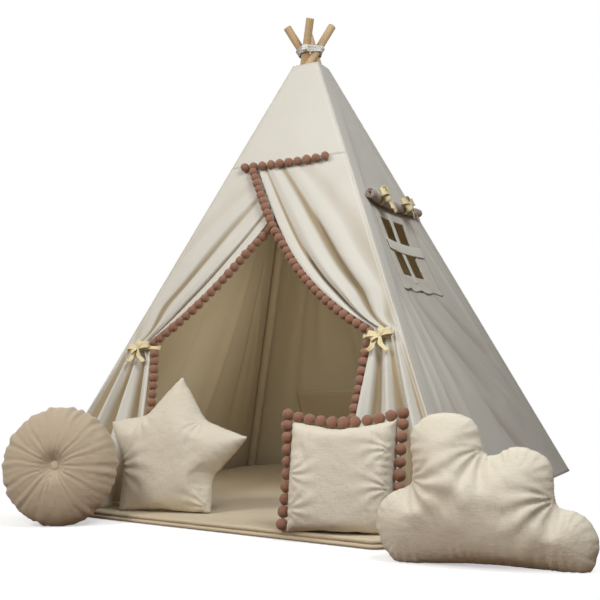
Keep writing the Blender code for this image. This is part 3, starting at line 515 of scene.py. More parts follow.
# Folds of each wall: where a crease starts and ends (across, height), its width and its depth
FOLDS = {
    "right": (
        (-0.325, 0.545, -0.40, 0.20, 0.012, 0.006),
        (-0.300, 0.560, -0.33, 0.22, 0.013, -0.006),
        (-0.275, 0.545, -0.27, 0.20, 0.013, 0.006),
        (-0.225, 0.565, -0.19, 0.16, 0.015, -0.006),
        (-0.185, 0.560, -0.11, 0.16, 0.016, 0.007),
        (-0.140, 0.550, -0.02, 0.30, 0.014, -0.007),
        (-0.110, 0.555, 0.10, 0.20, 0.018, 0.007),
        (-0.060, 0.560, 0.24, 0.26, 0.016, -0.007),
        (0.020, 0.560, 0.34, 0.20, 0.018, 0.007),
        (0.100, 0.600, 0.38, 0.36, 0.014, -0.006),
        (0.190, 0.760, 0.40, 0.34, 0.013, 0.006),
        (0.170, 0.900, 0.34, 0.56, 0.011, -0.004),
        (-0.370, 0.700, -0.46, 0.30, 0.012, 0.005),
        (-0.340, 0.720, -0.50, 0.10, 0.012, -0.005),
        (-0.210, 0.960, -0.36, 0.66, 0.010, -0.004),
        (-0.190, 0.980, -0.30, 0.72, 0.009, 0.003),
        (0.30, 0.30, 0.52, 0.07, 0.020, 0.008),
        (0.36, 0.36, 0.53, 0.16, 0.016, -0.007),
        (0.10, 0.26, 0.30, 0.05, 0.024, -0.007),
    ),
    "left": (
        (-0.10, 0.90, -0.38, 0.20, 0.018, -0.006),
        (-0.02, 0.95, -0.16, 0.15, 0.020, 0.006),
        (0.06, 0.80, 0.10, 0.12, 0.022, -0.007),
        (0.16, 0.78, 0.34, 0.14, 0.018, 0.006),
        (0.25, 0.60, 0.46, 0.18, 0.016, -0.006),
        (-0.28, 0.62, -0.46, 0.18, 0.016, 0.005),
    ),
    "back": (
        (-0.05, 0.98, -0.22, 0.35, 0.018, -0.006),
        (0.04, 0.98, 0.08, 0.34, 0.020, 0.006),
        (0.12, 0.90, 0.26, 0.34, 0.018, -0.006),
        (0.22, 0.64, 0.42, 0.16, 0.016, 0.006),
        (-0.20, 0.66, -0.40, 0.16, 0.018, 0.006),
        (-0.06, 0.62, -0.04, 0.32, 0.016, -0.005),
    ),
    "front": (),
}
FOLD_DEPTH = {"right": 1.9, "left": 1.4, "back": 1.4, "front": 1.0}


def folds_at(side, across, height):
    """Where the cloth is free to fold, from 0 to 1, and how far its folds stand out."""
    strip = reach_at(height) - seam_strip(height)
    free = ease((strip - np.abs(across)) / 0.06) * ease((COVER_TOP - height) / 0.12)
    total = sum((crease(across, height, *fold) for fold in FOLDS[side]), np.zeros_like(across))
    return free, free * FOLD_DEPTH[side] * total


def pressed_at(from_seam):
    """How far the cloth is pressed in beside the seam at a corner."""
    return 0.0032 * clamp(1 - from_seam / 0.016) ** 2


def wall_out(side, across, height):
    """How far outside the flat inner face the cloth's inner face is, with its sag, folds and rumples."""
    free, folds = folds_at(side, across, height)
    places = np.stack([across, height * 0.55, np.full_like(across, len(side) * 0.37)], axis=-1)
    rumples = free * (0.0042 * wobble(places, 5.5, 1) + 0.0016 * wobble(places, 14.0, 2))
    return folds - sag_at(side, across, height) + rumples - pressed_at(reach_at(height) - np.abs(across))


def wall_columns(height, counts):
    """Places across a wall at a height, the same number at every height."""
    width = float(reach_at(height))
    strip = max(width - seam_strip(height), 0.35 * width)
    half = spread((0.0, min(PANE_HALF, 0.6 * strip), strip, width + CANVAS * ALONG_X - SEAM_GAP), *counts)
    return [-a for a in reversed(half[1:])] + half


def in_hole(across, tall, half, low, high):
    """Which faces of a grid lie in an opening."""
    across = (across[:-1, :-1] + across[1:, 1:]) / 2
    tall = (tall[:-1, :-1] + tall[1:, 1:]) / 2
    return (np.abs(across) < half) & (tall > low) & (tall < high)


def wall_cloth(side, node, name, poles, heights, counts, hole=None):
    heights = np.array(heights)
    across = np.array([wall_columns(h, counts) for h in heights])
    tall = np.broadcast_to(heights[:, None], across.shape)
    grid = wall_points(side, across, tall, wall_out(side, across, tall) + CANVAS * ALONG_X)
    to_seam = reach_at(tall) - np.abs(across)
    to_hem = (tall - heights[0]) * ALONG_X
    if side == "front":
        to_hem = np.where(np.abs(across) < 0.14, to_hem, 1.0)
    beside = to_seam < to_hem
    edge = np.stack([np.where(beside, tall, across), np.where(beside, to_seam, to_hem) + EDGE_TURN], axis=-1)
    wide, narrow = 2 * reach_at(heights[0]), 2 * reach_at(COVER_TOP)
    slant = (COVER_TOP - heights[0]) * ALONG_X
    # Painted shade in the hollows of the wall's folds: the deeper the hollow, the darker
    cloth(node, f"{side}_cover", grid, on_flat(across, tall), edge, [canvas_out, canvas_in_shaded], CANVAS,
          in_hole(across, tall, *hole) if hole else None, fold_shade=-folds_at(side, across, tall)[1] / 0.030,
          name=name, flat=(float(wide), float(slant)), held="stretched", rests_on=poles,
          area=float((wide + narrow) / 2 * slant))


WINDOW = (PANE_HALF, PANE_BOTTOM, PANE_TOP)
FULL = spread((HEM_HEIGHT, COVER_TOP), 96)
wall_cloth("left", "left_wall", None, ["pole_front_left", "pole_rear_left"], FULL, (12, 34, 8))
wall_cloth("back", "back_wall", None, ["pole_rear_left", "pole_rear_right"], FULL, (12, 34, 8))
wall_cloth("right", "right_wall", None, ["pole_front_right", "pole_rear_right"],
           spread((HEM_HEIGHT, PANE_BOTTOM, PANE_TOP, COVER_TOP), 74, 20, 54), (14, 56, 8), WINDOW)
wall_cloth("front", "front_top_panel", "front_top_cloth", ["pole_front_left", "pole_front_right"],
           spread((DOOR_TOP, COVER_TOP), 40), (8, 20, 8))


# Curtains

RIGHT, LEFT = 1, -1
EDGE = {RIGHT: (0.349, 0.38, 0.03), LEFT: (0.338, 0.22, 0.09)}


def free_edge(side, height):
    """How far from the middle a curtain's free edge is, counted towards its own side."""
    waist, curve, flare = EDGE[side]
    share = clamp((DOOR_TOP - height) / (DOOR_TOP - WAIST_HEIGHT))
    above = -0.10 + (waist + 0.10) * ((1 - curve) * share + curve * share**4)
    drop = clamp((WAIST_HEIGHT - height) / WAIST_HEIGHT)
    return np.where(height >= WAIST_HEIGHT, above, waist - flare * drop**0.8)


def edge_at(side, height):
    return one(free_edge(side, np.array(height)))


# Long folds above the ribbon: height, place beside the free edge and width
LONG_FOLDS = ((0.6, 0.10, 0.13), (-2.2, 0.33, 0.048), (1.35, 0.62, 0.18), (-2.1, 1.02, 0.11),
              (0.7, 1.38, 0.20), (-0.5, 1.95, 0.30))


def curtain_out(side, across, height):
    """How far outside the flat wall's inner face a curtain lies, and how much painted shade its colour gets
    there.
    """
    ridge = reach_at(height)
    free = free_edge(side, height)
    share = (across - free) / (ridge - free)
    down = ease((DOOR_TOP - height) / (DOOR_TOP - WAIST_HEIGHT))
    reach = 0.075 + 0.040 * np.sin(np.pi * clamp((DOOR_TOP - height) / 0.52))
    beside = (across - free) / (reach - 0.045 * ease((0.58 - height) / 0.12))
    strong = (0.004 + 0.0075 * down) * (1.0 if side > 0 else 0.6)
    upper = strong * sum(most * bump_at(beside, place, width) for most, place, width in LONG_FOLDS)
    drop = ease((WAIST_HEIGHT - height) / 0.22)
    turns = 2.7 if side > 0 else 3.2
    wave = np.sin(TURN * turns * share + 0.5 + 0.35 * np.sin(5 * share + 9 * height))
    lower = (0.0070 + 0.0095 * drop) * (wave + 0.16 * np.sin(TURN * (2.3 * turns) * share + 1.1))
    below = ease((WAIST_HEIGHT - 0.005 - height) / 0.05)
    at_tie = bump_at(height, TIE_HEIGHT, 0.022)
    gathered = 0.0065 * np.sin(TURN * 6.5 * share + 0.6)
    value = (upper * (1 - below) + lower * below) * (1 - at_tie) + gathered * at_tie
    places = np.stack([across, height * 0.6, np.full_like(across, 0.9 * side)], axis=-1)
    value = value + 0.0013 * wobble(places, 9.0, 4) * ease((DOOR_TOP - height) / 0.1)
    # Painted shade in the hollows of the folds, and over all of the gathered tail below the tie
    fold_shade = 0.35 * below - value / np.where(height > WAIST_HEIGHT, 0.010, 0.014)
    over_sleeve = clamp((ridge - seam_strip(height) - across) / 0.03)
    off_middle = ease((across - 0.10) / 0.06)
    from_middle = np.where(height > 0.66, off_middle, 1.0)
    value = value * clamp((ridge - across) / 0.012)
    if side > 0:
        value = value * np.where(value > 0, 1.0, over_sleeve * from_middle)
    else:
        value = value * np.where(value > 0, from_middle, over_sleeve)
        value = value - (CANVAS * ALONG_X + 2 * LAYER_GAP) * (1 - off_middle) * ease((height - 0.66) / 0.1)
    return value - pressed_at(ridge - across), fold_shade


def curtain_cloth(side, node):
    knots = (CURTAIN_HEM, TIE_HEIGHT - 0.03, TIE_HEIGHT + 0.03, DOOR_TOP - 0.0001)
    heights = np.array(spread(knots, 50, 16, 74))
    shares = np.concatenate([np.linspace(0, 0.5, 64), np.linspace(0.5, 1, 41)[1:]])
    tall = np.repeat(heights[:, None], len(shares), axis=1)
    free = free_edge(side, tall)
    seam = reach_at(tall) + CANVAS * ALONG_X - SEAM_GAP
    across = free + (seam - free) * shares[None, :]
    out, fold_shade = curtain_out(side, across, tall)
    grid = wall_points("front", side * across, tall, out + CANVAS * ALONG_X)
    slope = 1 / np.hypot(1, np.gradient(free[:, 0], heights))[:, None]
    to_hem = (tall - heights[0]) * ALONG_X
    nearest = np.minimum(np.minimum((across - free) * slope, reach_at(tall) - across), to_hem)
    run = np.where(nearest == to_hem, across, tall * 1.25)
    wide, slant = float(reach_at(CURTAIN_HEM)), (DOOR_TOP - CURTAIN_HEM) * ALONG_X
    # 5% more than the wall's width, for the gathers
    widths = (seam[:, -1] - free[:, 0]) * 1.05
    area = float(((widths[1:] + widths[:-1]) / 2 * np.diff(heights)).sum() * ALONG_X)
    cloth(node, "front_cover", grid, on_flat(across, tall), np.stack([run, nearest + EDGE_TURN], axis=-1),
          [canvas_out, canvas_in_shaded], CANVAS, fold_shade=fold_shade, flat=(wide, slant), held="gathered",
          rests_on=["front_top_panel"], area=max(area, 0.31 * wide * slant))


curtain_cloth(RIGHT, "right_curtain")
curtain_cloth(LEFT, "left_curtain")


# Ribbons and bows


def shares(steps):
    return [k / steps for k in range(steps + 1)]


# Loops of a bow: to which side, how big, and how far they stand up, between two angles
BOW_LOOPS = ((-1, 1.0, 10, 28), (1, 1.0, 10, 28), (-1, 0.72, -34, -12), (1, 0.66, 48, 66))


def add_bow(name, body, node, middle, sideways, outward, seed, size=1.0):
    """Four puffed loops, two tails and a band round the middle, of one soft ribbon."""
    dice = random.Random(seed)
    up = outward.cross(sideways).normalized()
    if up.z < 0:
        up = -up
    parts = []
    for way, big, low, high in BOW_LOOPS:
        tilt = math.radians(dice.uniform(low, high))
        along = (sideways * way * math.cos(tilt) + up * math.sin(tilt)).normalized()
        rise = outward.cross(along).normalized()
        path, ways, widths = [], [], []
        for t in shares(22):
            reach = 0.0335 * size * big * (1 - math.cos(TURN * t)) / 2
            deep = 0.0075 * size * math.sin(TURN * t) + 0.0030 * (1 - big) + 0.0005
            twist = 0.35 * math.sin(TURN * t) + dice.uniform(-0.04, 0.04)
            path.append(middle + along * reach + outward * deep + rise * 0.003 * math.sin(math.pi * t))
            ways.append(rise * math.cos(twist) + outward * math.sin(twist) * 0.5)
            widths.append(size * (0.006 + 0.0145 * math.sin(math.pi * t) ** 0.8))
        parts.append(ribbon(path, ways, widths, cup=0.0012))
    for way in (-1, 1):
        lean = dice.uniform(0.35, 0.6)
        path, ways, widths = [], [], []
        for t in shares(16):
            curl = 0.006 * math.sin(2.4 * math.pi * t + way)
            fall = -up * 0.043 * size * t + sideways * way * (0.043 * size * lean * t + curl * t)
            path.append(middle + fall + outward * (0.003 + 0.003 * math.sin(3 * t + way)))
            spin = 0.5 * math.sin(2.2 * t + seed)
            ways.append(sideways * math.cos(spin) + outward * math.sin(spin) + up * 0.35 * way)
            widths.append(size * (0.0055 + 0.0075 * min(1.0, 2.2 * t)))
        parts.append(ribbon(path, ways, widths, cup=0.0008))
    ring = [middle + up * 0.0058 * size * math.sin(TURN * t)
            + outward * (0.0056 * size * math.cos(TURN * t) + 0.001) for t in shares(18)]
    parts.append(ribbon(ring, [sideways] * 19, [0.0085 * size] * 19, thick=0.0016, cup=0.0010))
    joined(name, body, node, parts, ribbon_cloth, lambda p: (p.x + p.y, p.z))


def front_point(side, across, height, out):
    return Vector((side * across, -reach_at(height) - out, height))


for side, where, seed in ((RIGHT, "right", 3), (LEFT, "left", 8)):
    ridge = reach_at(TIE_HEIGHT)
    tip = edge_at(side, TIE_HEIGHT - TIE_WIDTH) - 0.0256
    bend = tip + 0.016
    plan = [(ridge - 0.028, TIE_ARM)]
    plan += [(bend + (ridge - 0.044 - tip) * (1 - k / 10), TIE_ARM) for k in range(1, 10)]
    plan += [(bend - 0.016 * math.sin(math.pi * t), TIE_ARM * math.cos(math.pi * t)) for t in shares(12)]
    plan += [(bend + (ridge - seam_strip(TIE_HEIGHT) + 0.006 - bend) * k / 8, -TIE_ARM) for k in range(1, 9)]
    path = [front_point(side, x, TIE_HEIGHT + 0.0012 * math.sin(60 * x), out) for x, out in plan]
    ways = [Vector((0, math.sin(WALL_LEAN), math.cos(WALL_LEAN)))] * len(path)
    widths = [TIE_WIDTH * (0.82 + 0.16 * math.sin(37 * k)) for k in range(len(path))]
    joined(f"{where}_curtain_ribbon", "front_cover", f"{where}_curtain_tie",
           [ribbon(path, ways, widths, 0.0012, 0.0008)], ribbon_cloth, lambda p: (p.x, p.z))
    middle = front_point(side, edge_at(side, WAIST_HEIGHT) + 0.022, TIE_HEIGHT, TIE_ARM + 0.0085)
    add_bow(f"{where}_curtain_bow_loops", "front_cover", f"{where}_curtain_bow", middle, Vector((1, 0, 0)),
            OUT["front"], seed)


# Ball trims

ball = bmesh.new()
bmesh.ops.create_icosphere(ball, subdivisions=3, radius=1.0)
BALL_WAYS = [v.co.copy() for v in ball.verts]
BALL_FACES = [tuple(v.index for v in f.verts) for f in ball.faces]
ball.free()


def ball_string(name, body, node, middles, seed):
    """Trim balls of cut yarn on one thread."""
    dice = random.Random(seed)
    parts = []
    for middle in middles:
        shift = Vector([dice.uniform(-40, 40) for _ in range(3)])
        size = BALL_RADIUS * dice.uniform(0.95, 1.05)
        squat = Vector([dice.uniform(0.94, 1.04) for _ in range(3)])
        points = []
        for way in BALL_WAYS:
            tuft = 1 + 0.050 * noise.noise(way * 2.2 + shift) + 0.075 * noise.noise(way * 8.0 + shift)
            points.append(middle + way * size * tuft * squat)
        parts.append((points, BALL_FACES))
    parts.append(tube(middles, 0.0014, 8))
    return joined(name, body, node, parts, ball_plush)


def evenly(path, pitch):
    """Points along a path at even distances near the pitch."""
    lengths = [0.0]
    for a, b in zip(path, path[1:]):
        lengths.append(lengths[-1] + (b - a).length)
    count = max(1, round(lengths[-1] / pitch))
    found = []
    for n in range(count + 1):
        goal = lengths[-1] * n / count
        k = min(max(int(np.searchsorted(lengths, goal)) - 1, 0), len(path) - 2)
        share = (goal - lengths[k]) / max(lengths[k + 1] - lengths[k], 1e-9)
        found.append(path[k].lerp(path[k + 1], min(max(share, 0.0), 1.0)))
    return found


def trim_point(side, height, step=0.004):
    """Where the string of balls runs beside a curtain's free edge."""
    slope = (edge_at(side, height - step) - edge_at(side, height + step)) / (2 * step)
    if height > WAIST_HEIGHT - 2 * step:
        slope = max(slope, 0.0)
    aside = (POMPOM_RADIUS + 0.0002) / math.hypot(1, slope)
    layer = (0.0145 if side == RIGHT else -0.0165) * float(ease((height - 0.70) / 0.08))
    return front_point(side, edge_at(side, height) - aside, height - aside * slope, layer + CANVAS * 0.5)


for side, where, seed, below_top in ((RIGHT, "right", 11, 0.018), (LEFT, "left", 23, 0.035)):
    beside = TIE_WIDTH / 2 + POMPOM_RADIUS + 0.001
    balls = []
    for top, bottom in ((DOOR_TOP - below_top, TIE_HEIGHT + beside),
                        (TIE_HEIGHT - beside, CURTAIN_HEM + POMPOM_RADIUS + 0.002)):
        balls += evenly([trim_point(side, top + (bottom - top) * t) for t in shares(120)], POMPOM_PITCH)
    ball_string(f"{where}_curtain_balls", "front_cover", f"{where}_curtain_pompoms", balls, seed)

DOOR_TRIM = 0.978
door_out = reach_at(DOOR_TRIM) + CANVAS * ALONG_X + LAYER_GAP + POMPOM_RADIUS + 0.002
door_line = [Vector((x, -door_out, DOOR_TRIM - 0.004 * math.cos(11 * x)))
             for x in (-0.132, -0.066, 0, 0.066, 0.132)]
ball_string("door_top_balls", "front_cover", "door_top_pompoms", evenly(door_line, 0.0285), 5)


# Window


def add_layer(node, rows, heights, out, materials, slot, hole=None, ruffle=0.0, wavy=0.0):
    """A cloth layer that follows the right wall, out being its distance from the wall's outer face."""
    across = np.array(rows)
    tall = np.repeat(np.array(heights)[:, None], across.shape[1], axis=1)
    gathered = 0.5 + 0.5 * np.sin(across * 95 + 2.2 * np.sin(across * 31))
    extra = ruffle * bump_at(tall, heights[0], 0.018) * gathered
    level = wall_out("right", across, tall) + (CANVAS + out + PATCH) * ALONG_X + extra
    grid = wall_points("right", across, tall, level)
    grid[..., 2] += wavy * bump_at(tall, heights[0], 0.02) * np.sin(across * 60 + 1.0)
    left, right = across.min(axis=1, keepdims=True), across.max(axis=1, keepdims=True)
    ends = np.minimum(across - left, right - across)
    hems = np.minimum(tall - heights[0], heights[-1] - tall) * ALONG_X
    nearest = np.minimum(ends, hems)
    wide, slant = float((right - left).mean()), (heights[-1] - heights[0]) * ALONG_X
    area = wide * slant
    if hole:
        half, low, high = hole
        around = np.maximum(np.abs(across) - half, np.maximum(low - tall, tall - high) * ALONG_X)
        nearest = np.minimum(nearest, np.maximum(around, 0))
        area -= 2 * half * (high - low) * ALONG_X
    edge = np.stack([np.where(ends <= hems, tall, across), nearest], axis=-1)
    cloth(node, "right_cover", grid, on_flat(across, tall), edge, materials, PATCH,
          in_hole(across, tall, *hole) if hole else None, slot, flat=(wide, slant), held="stretched",
          rests_on=["right_wall"], area=area)


def surround_half(height):
    return 0.168 - 0.018 * (height - SURROUND_LOW) / (SURROUND_HIGH - SURROUND_LOW)


heights = spread((SURROUND_LOW, PANE_BOTTOM, PANE_TOP, SURROUND_HIGH), 12)
rows = [spread((-surround_half(h), -PANE_HALF, 0, PANE_HALF, surround_half(h)), 10) for h in heights]
add_layer("window_surround", rows, heights, 0.0010, [canvas_patch, canvas_in_shaded], "canvas", WINDOW, 0.004, 0.003)
for node, half, columns, heights, out in (
    ("window_mullion", 0.014, 8, spread((0.610, PANE_BOTTOM, PANE_TOP, 0.825), 14), 0.0030),
    ("window_crossbar", 0.150, 60, spread((0.7015, 0.7335), 8), 0.0052),
):
    rows = [spread((-half, half), columns)] * len(heights)
    add_layer(node, rows, heights, out, [canvas_bar, canvas_in_shaded], "lining")


def blind_middle(across):
    place, level = np.array([across]), np.array([BLIND_HEIGHT])
    reach = reach_at(level) + wall_out("right", place, level) + CANVAS * ALONG_X
    return Vector((one(reach), across, BLIND_HEIGHT)) + OUT["right"] * (BLIND_RADIUS + 0.0012)


def blind_frame(across):
    """The middle of the rolled blind, and the ways along, up and out of it."""
    along = (blind_middle(across + 0.014) - blind_middle(across - 0.014)).normalized()
    up = OUT["right"].cross(along).normalized()
    if up.z < 0:
        up = -up
    outward = along.cross(up)
    if outward.dot(OUT["right"]) < 0:
        outward = -outward
    return blind_middle(across), along, outward.cross(along), outward


def rolled_blind(turns=4.2, pitch=0.0030, columns=72, steps=130):
    """The window's cloth, rolled up: a spiral sheet that is pinched under its two ribbons."""
    places = np.linspace(-BLIND_HALF, BLIND_HALF, columns + 1)
    grid = np.zeros((steps + 1, columns + 1, 3))
    for i, across in enumerate(map(float, places)):
        middle, _, up, outward = blind_frame(across)
        pinch = sum(math.exp(-(((across - place) / 0.013) ** 2)) for _, place, _ in BLIND_TIES)
        for j, t in enumerate(shares(steps)):
            angle = TURN * turns * t
            radius = (BLIND_RADIUS - 0.0012 - pitch * turns * (1 - t) * 0.86) * (1 - 0.10 * pinch)
            radius = max(0.0014, radius + 0.0011 * noise.noise(Vector((across * 26, angle * 0.5, 4.0))))
            grid[j, i] = middle + radius * (outward * math.cos(angle + 2.4) + up * math.sin(angle + 2.4))
    length = float(np.linalg.norm(np.diff(grid[:, 0], axis=0), axis=1).sum())
    coords = np.stack(np.meshgrid(places, np.linspace(0, length, steps + 1)), axis=-1)
    cloth("window_blind", "right_cover", grid, coords, coords, [blind_cloth, blind_cloth], 0.0011,
          slot="blind", name="window_blind_roll", flat=(2 * BLIND_HALF, length), held="folded",
          rests_on=["right_wall"])


rolled_blind()
for where, across, seed in BLIND_TIES:
    middle, along, up, outward = blind_frame(across)
    radius = BLIND_RADIUS + 0.0012
    turns = [math.radians(100 - 8.5 * k) for k in range(25)]
    path = [middle + radius * (outward * math.cos(turn) + up * math.sin(turn)) for turn in turns]
    widths = [0.0125 + 0.0015 * math.sin(1.9 * k) for k in range(25)]
    joined(f"window_blind_ribbon_{where}", "right_cover", f"window_blind_tie_{where}",
           [ribbon(path, [along] * 25, widths, 0.0011, 0.0007)], ribbon_cloth, lambda p: (p.y, p.z))
    add_bow(f"window_blind_bow_loops_{where}", "right_cover", f"window_blind_bow_{where}",
            middle + outward * (radius + 0.0085), along, outward, seed, 1.22)


# Pocket on the inside of the back wall

across, tall = np.meshgrid(np.linspace(-POCKET_HALF, POCKET_HALF, 90), spread((POCKET_LOW, POCKET_HIGH), 30))
belly = np.sin(np.pi * (across + POCKET_HALF) / (2 * POCKET_HALF)) ** 2
slack = 0.004 * ease((tall - POCKET_LOW) / 0.2) * belly * (1 + 0.5 * np.sin(across * 24))
ends = np.minimum(across + POCKET_HALF, POCKET_HALF - across)
hems = np.minimum(tall - POCKET_LOW, POCKET_HIGH - tall)
grid = wall_points("back", across, tall, wall_out("back", across, tall) - 0.0012 * ALONG_X - slack)
edge = np.stack([np.where(ends < hems, tall, across), np.minimum(ends, hems)], axis=-1)
cloth("inner_pocket", "back_cover", grid, np.stack([across, tall], -1), edge, [pocket_cloth, pocket_cloth],
      PATCH, slot="lining", flat=(2 * POCKET_HALF, (POCKET_HIGH - POCKET_LOW) * ALONG_X), held="hung",
      rests_on=["back_wall"])


# Poles, sleeves and lashing

CORNERS = {"front_left": (-1, -1), "front_right": (1, -1), "rear_right": (1, 1), "rear_left": (-1, 1)}


def pole_axis(corner):
    out = Vector((*corner, 0)).normalized()
    crossing = POLE_OFFSET * UP.cross(out) + CROSS_HEIGHT * UP
    return crossing, (BASE_HALF * math.sqrt(2) * out - crossing).normalized()


def sleeve(where, corner, sides=28, steps=150):
    """A cloth tube round a pole, fuller towards the tent's middle."""
    crossing, down = pole_axis(corner)
    foot = (crossing.z - POLE_RADIUS * math.sqrt(1 - down.z**2)) / -down.z
    length = foot - SLEEVE_FOOT_GAP - SLEEVE_TOP_BELOW_CROSSING
    towards = -Vector((*corner, 0)).normalized()
    towards = (towards - down * towards.dot(down)).normalized()
    other = down.cross(towards)
    seed = corner[0] + 2.5 * corner[1]
    outer, inner = [], []
    for t in shares(steps):
        s = SLEEVE_TOP_BELOW_CROSSING + length * t
        place = crossing + down * s
        ring = []
        for n in range(sides):
            turn = TURN * n / sides
            way = towards * math.cos(turn) + other * math.sin(turn)
            slack = 0.0016 + 0.0022 * noise.noise(Vector((s * 9, turn * 0.7, seed)))
            slack += 0.0010 * noise.noise(Vector((s * 34, turn * 1.2, seed)))
            outer.append(place + way * (SLEEVE_RADIUS - SEAM_GAP + max(0.0, math.cos(turn)) ** 1.5 * slack))
            ring.append(place + way * (POLE_RADIUS + 0.0004))
        inner = ring + inner
    piece(f"sleeve_{where}_cloth", f"leg_{where}", f"sleeve_{where}", outer + inner,
          skin(2 * steps + 2, sides, loop=True), [sleeve_canvas_shaded])


for where, corner in CORNERS.items():
    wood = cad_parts[f"pole_{where}"]
    wood.data.materials.clear()
    wood.data.materials.append(pine(f"pine_{where}", pole_axis(corner)[1]))
    soften = wood.modifiers.new("rounded_ends", "BEVEL")
    soften.width = 0.0022
    soften.segments = 2
    soften.limit_method = "ANGLE"
    soften.angle_limit = math.radians(60)
    sleeve(where, corner)


def bundle_point(height, grow, turn):
    """The place beside the four poles that lies furthest that way, at a height above the crossing."""
    way = Vector((math.cos(turn), math.sin(turn), 0))
    found = []
    for corner in CORNERS.values():
        crossing, down = pole_axis(corner)
        level = Vector((down.x, down.y, 0)).normalized()
        cross = Vector((-level.y, level.x, 0))
        long_half = POLE_RADIUS / -down.z
        a, b = long_half * way.dot(level), POLE_RADIUS * way.dot(cross)
        size = math.hypot(a, b)
        middle = crossing + down * (height / down.z)
        found.append(middle + level * (long_half * a / size) + cross * (POLE_RADIUS * b / size))
    return max(found, key=way.dot) + way * grow


CORD = 0.0026
STRANDS = 0.13


def wound_cord(turns=5, per_turn=72):
    """White cord wound round the pole bundle, its turns pressed together."""
    path = []
    for k, share in enumerate(shares(turns * per_turn - 1)):
        height = 0.0155 + 0.0185 * share + 0.0008 * math.sin(k * 0.21)
        path.append(bundle_point(height, 0.0008 + CORD, TURN * (k % per_turn + 0.5) / per_turn))
    smooth = []
    for k in range(len(path)):
        near = path[max(0, k - 2): k + 3]
        smooth.append(sum(near, Vector()) / len(near))
    return tube(smooth, CORD, 14, STRANDS)


joined("lashing_cord", "crown", "lashing_band", [wound_cord()], cord_cloth)

knot = sum(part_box("lashing_knot"), Vector()) / 2
outward = Vector((0.30, -0.95, 0)).normalized()
across = UP.cross(outward)
parts = []
for lean, size in ((0.35, 1.0), (-0.55, 0.9)):
    flat = across * math.cos(lean) + UP * math.sin(lean)
    steep = -across * math.sin(lean) + UP * math.cos(lean)
    ring = [knot + flat * 0.0088 * size * math.cos(TURN * t) + steep * 0.0042 * size * math.sin(TURN * t)
            + outward * 0.0018 * math.sin(2 * TURN * t) for t in shares(40)]
    parts.append(tube(ring, CORD, 12, STRANDS))
for way, fall in ((1, 0.0105), (-1, 0.0095)):
    end = [knot + across * way * 0.0102 * t - UP * fall * t * t + outward * 0.0015 * (1 - t)
           for t in shares(4)]
    parts.append(tube(end, [0.0024, 0.0024, 0.0024, 0.0026, 0.0030], 12, STRANDS))
joined("lashing_knot_cord", "crown", "lashing_knot", parts, cord_cloth)


# Mat

MAT_CORNERS = ((0.432, 0.432, 0.14), (-0.432, 0.432, 0.14), (-0.495, -0.59, 0.035), (0.50, -0.83, 0.035))


def mat_ring(inset):
    """The mat's outline drawn in by inset: four round corners with the straight sides between them."""
    turns = []
    sides = list(zip(MAT_CORNERS, MAT_CORNERS[1:] + MAT_CORNERS[:1]))
    for (x, y, radius), (next_x, next_y, next_radius) in sides:
        length = math.hypot(next_x - x, next_y - y)
        ahead = math.atan2(next_y - y, next_x - x)
        turns.append(ahead - math.pi / 2 + math.asin((radius - next_radius) / length))

    def rim(corner, turn):
        return Vector(corner[:2]) + (corner[2] - inset) * Vector((math.cos(turn), math.sin(turn)))

    ring = []
    for k, (here, after) in enumerate(sides):
        swing = (turns[k] - turns[k - 1]) % TURN
        ring += [rim(here, turns[k - 1] + swing * t) for t in shares(11)]
        near, far = ring[-1], rim(after, turns[k])
        ring += [near.lerp(far, t) for t in shares(56)[1:-1]]
    return ring


def mat_cloth_piece():
    """A padded quilt folded once: two soft rolls at its edge, and a gently uneven top."""
    roll = MAT_TOP / 2
    middle = Vector((0, -0.10))
    deepest = 0.033
    rings = [[(p.x, p.y, 0.0004) for p in mat_ring(0.020)]]
    for layer in (0, 1):
        for k in range(9):
            turn = math.pi * (k + 0.5) / 9 - math.pi / 2
            height = roll * layer + roll / 2 + 0.49 * roll * math.sin(turn)
            row = []
            for p in mat_ring(0.0052 * (1 - math.cos(turn)) + 0.0025 * layer):
                ripple = 0.0010 * noise.noise(Vector((p.x * 30, p.y * 30, height * 90)))
                spot = p + (p - middle).normalized() * ripple
                row.append((spot.x, spot.y, max(height, 0.0003)))
            rings.append(row)
        if layer == 0:
            rings.append([(p.x, p.y, roll) for p in mat_ring(0.0070)])
    for inset in (0.010, 0.016, 0.024, deepest, *(deepest + 0.005 + 0.029 * k for k in range(19))):
        shrink = 1 - max(inset - deepest, 0) / 0.58
        swell = min(1.0, (inset - 0.008) / 0.05)
        row = []
        for p in mat_ring(min(inset, deepest)):
            spot = middle + (p - middle) * shrink
            z = MAT_TOP + swell * (0.0016 * noise.noise(Vector((spot.x * 5, spot.y * 5, 3))) - 0.0008)
            z += swell * 0.0007 * noise.noise(Vector((spot.x * 21, spot.y * 13, 8)))
            row.append((spot.x, spot.y, z - 0.0016 * math.exp(-(((inset - 0.020) / 0.004) ** 2))))
        rings.append(row)
    faces = skin(len(rings), len(rings[0]))
    made = piece("mat_padded", "mat", "mat", sum(rings, []), faces, [mat_cloth])


mat_cloth_piece()


# Cushions


def coords_of(mesh, what="co"):
    flat = np.zeros(len(mesh.vertices) * 3)
    mesh.vertices.foreach_get(what, flat)
    return flat.reshape(-1, 3)


def put_coords(mesh, co):
    mesh.vertices.foreach_set("co", co.ravel())
    mesh.update()


def distances(places, others):
    return np.sqrt(((places[:, None, :] - others[None, :, :]) ** 2).sum(-1))


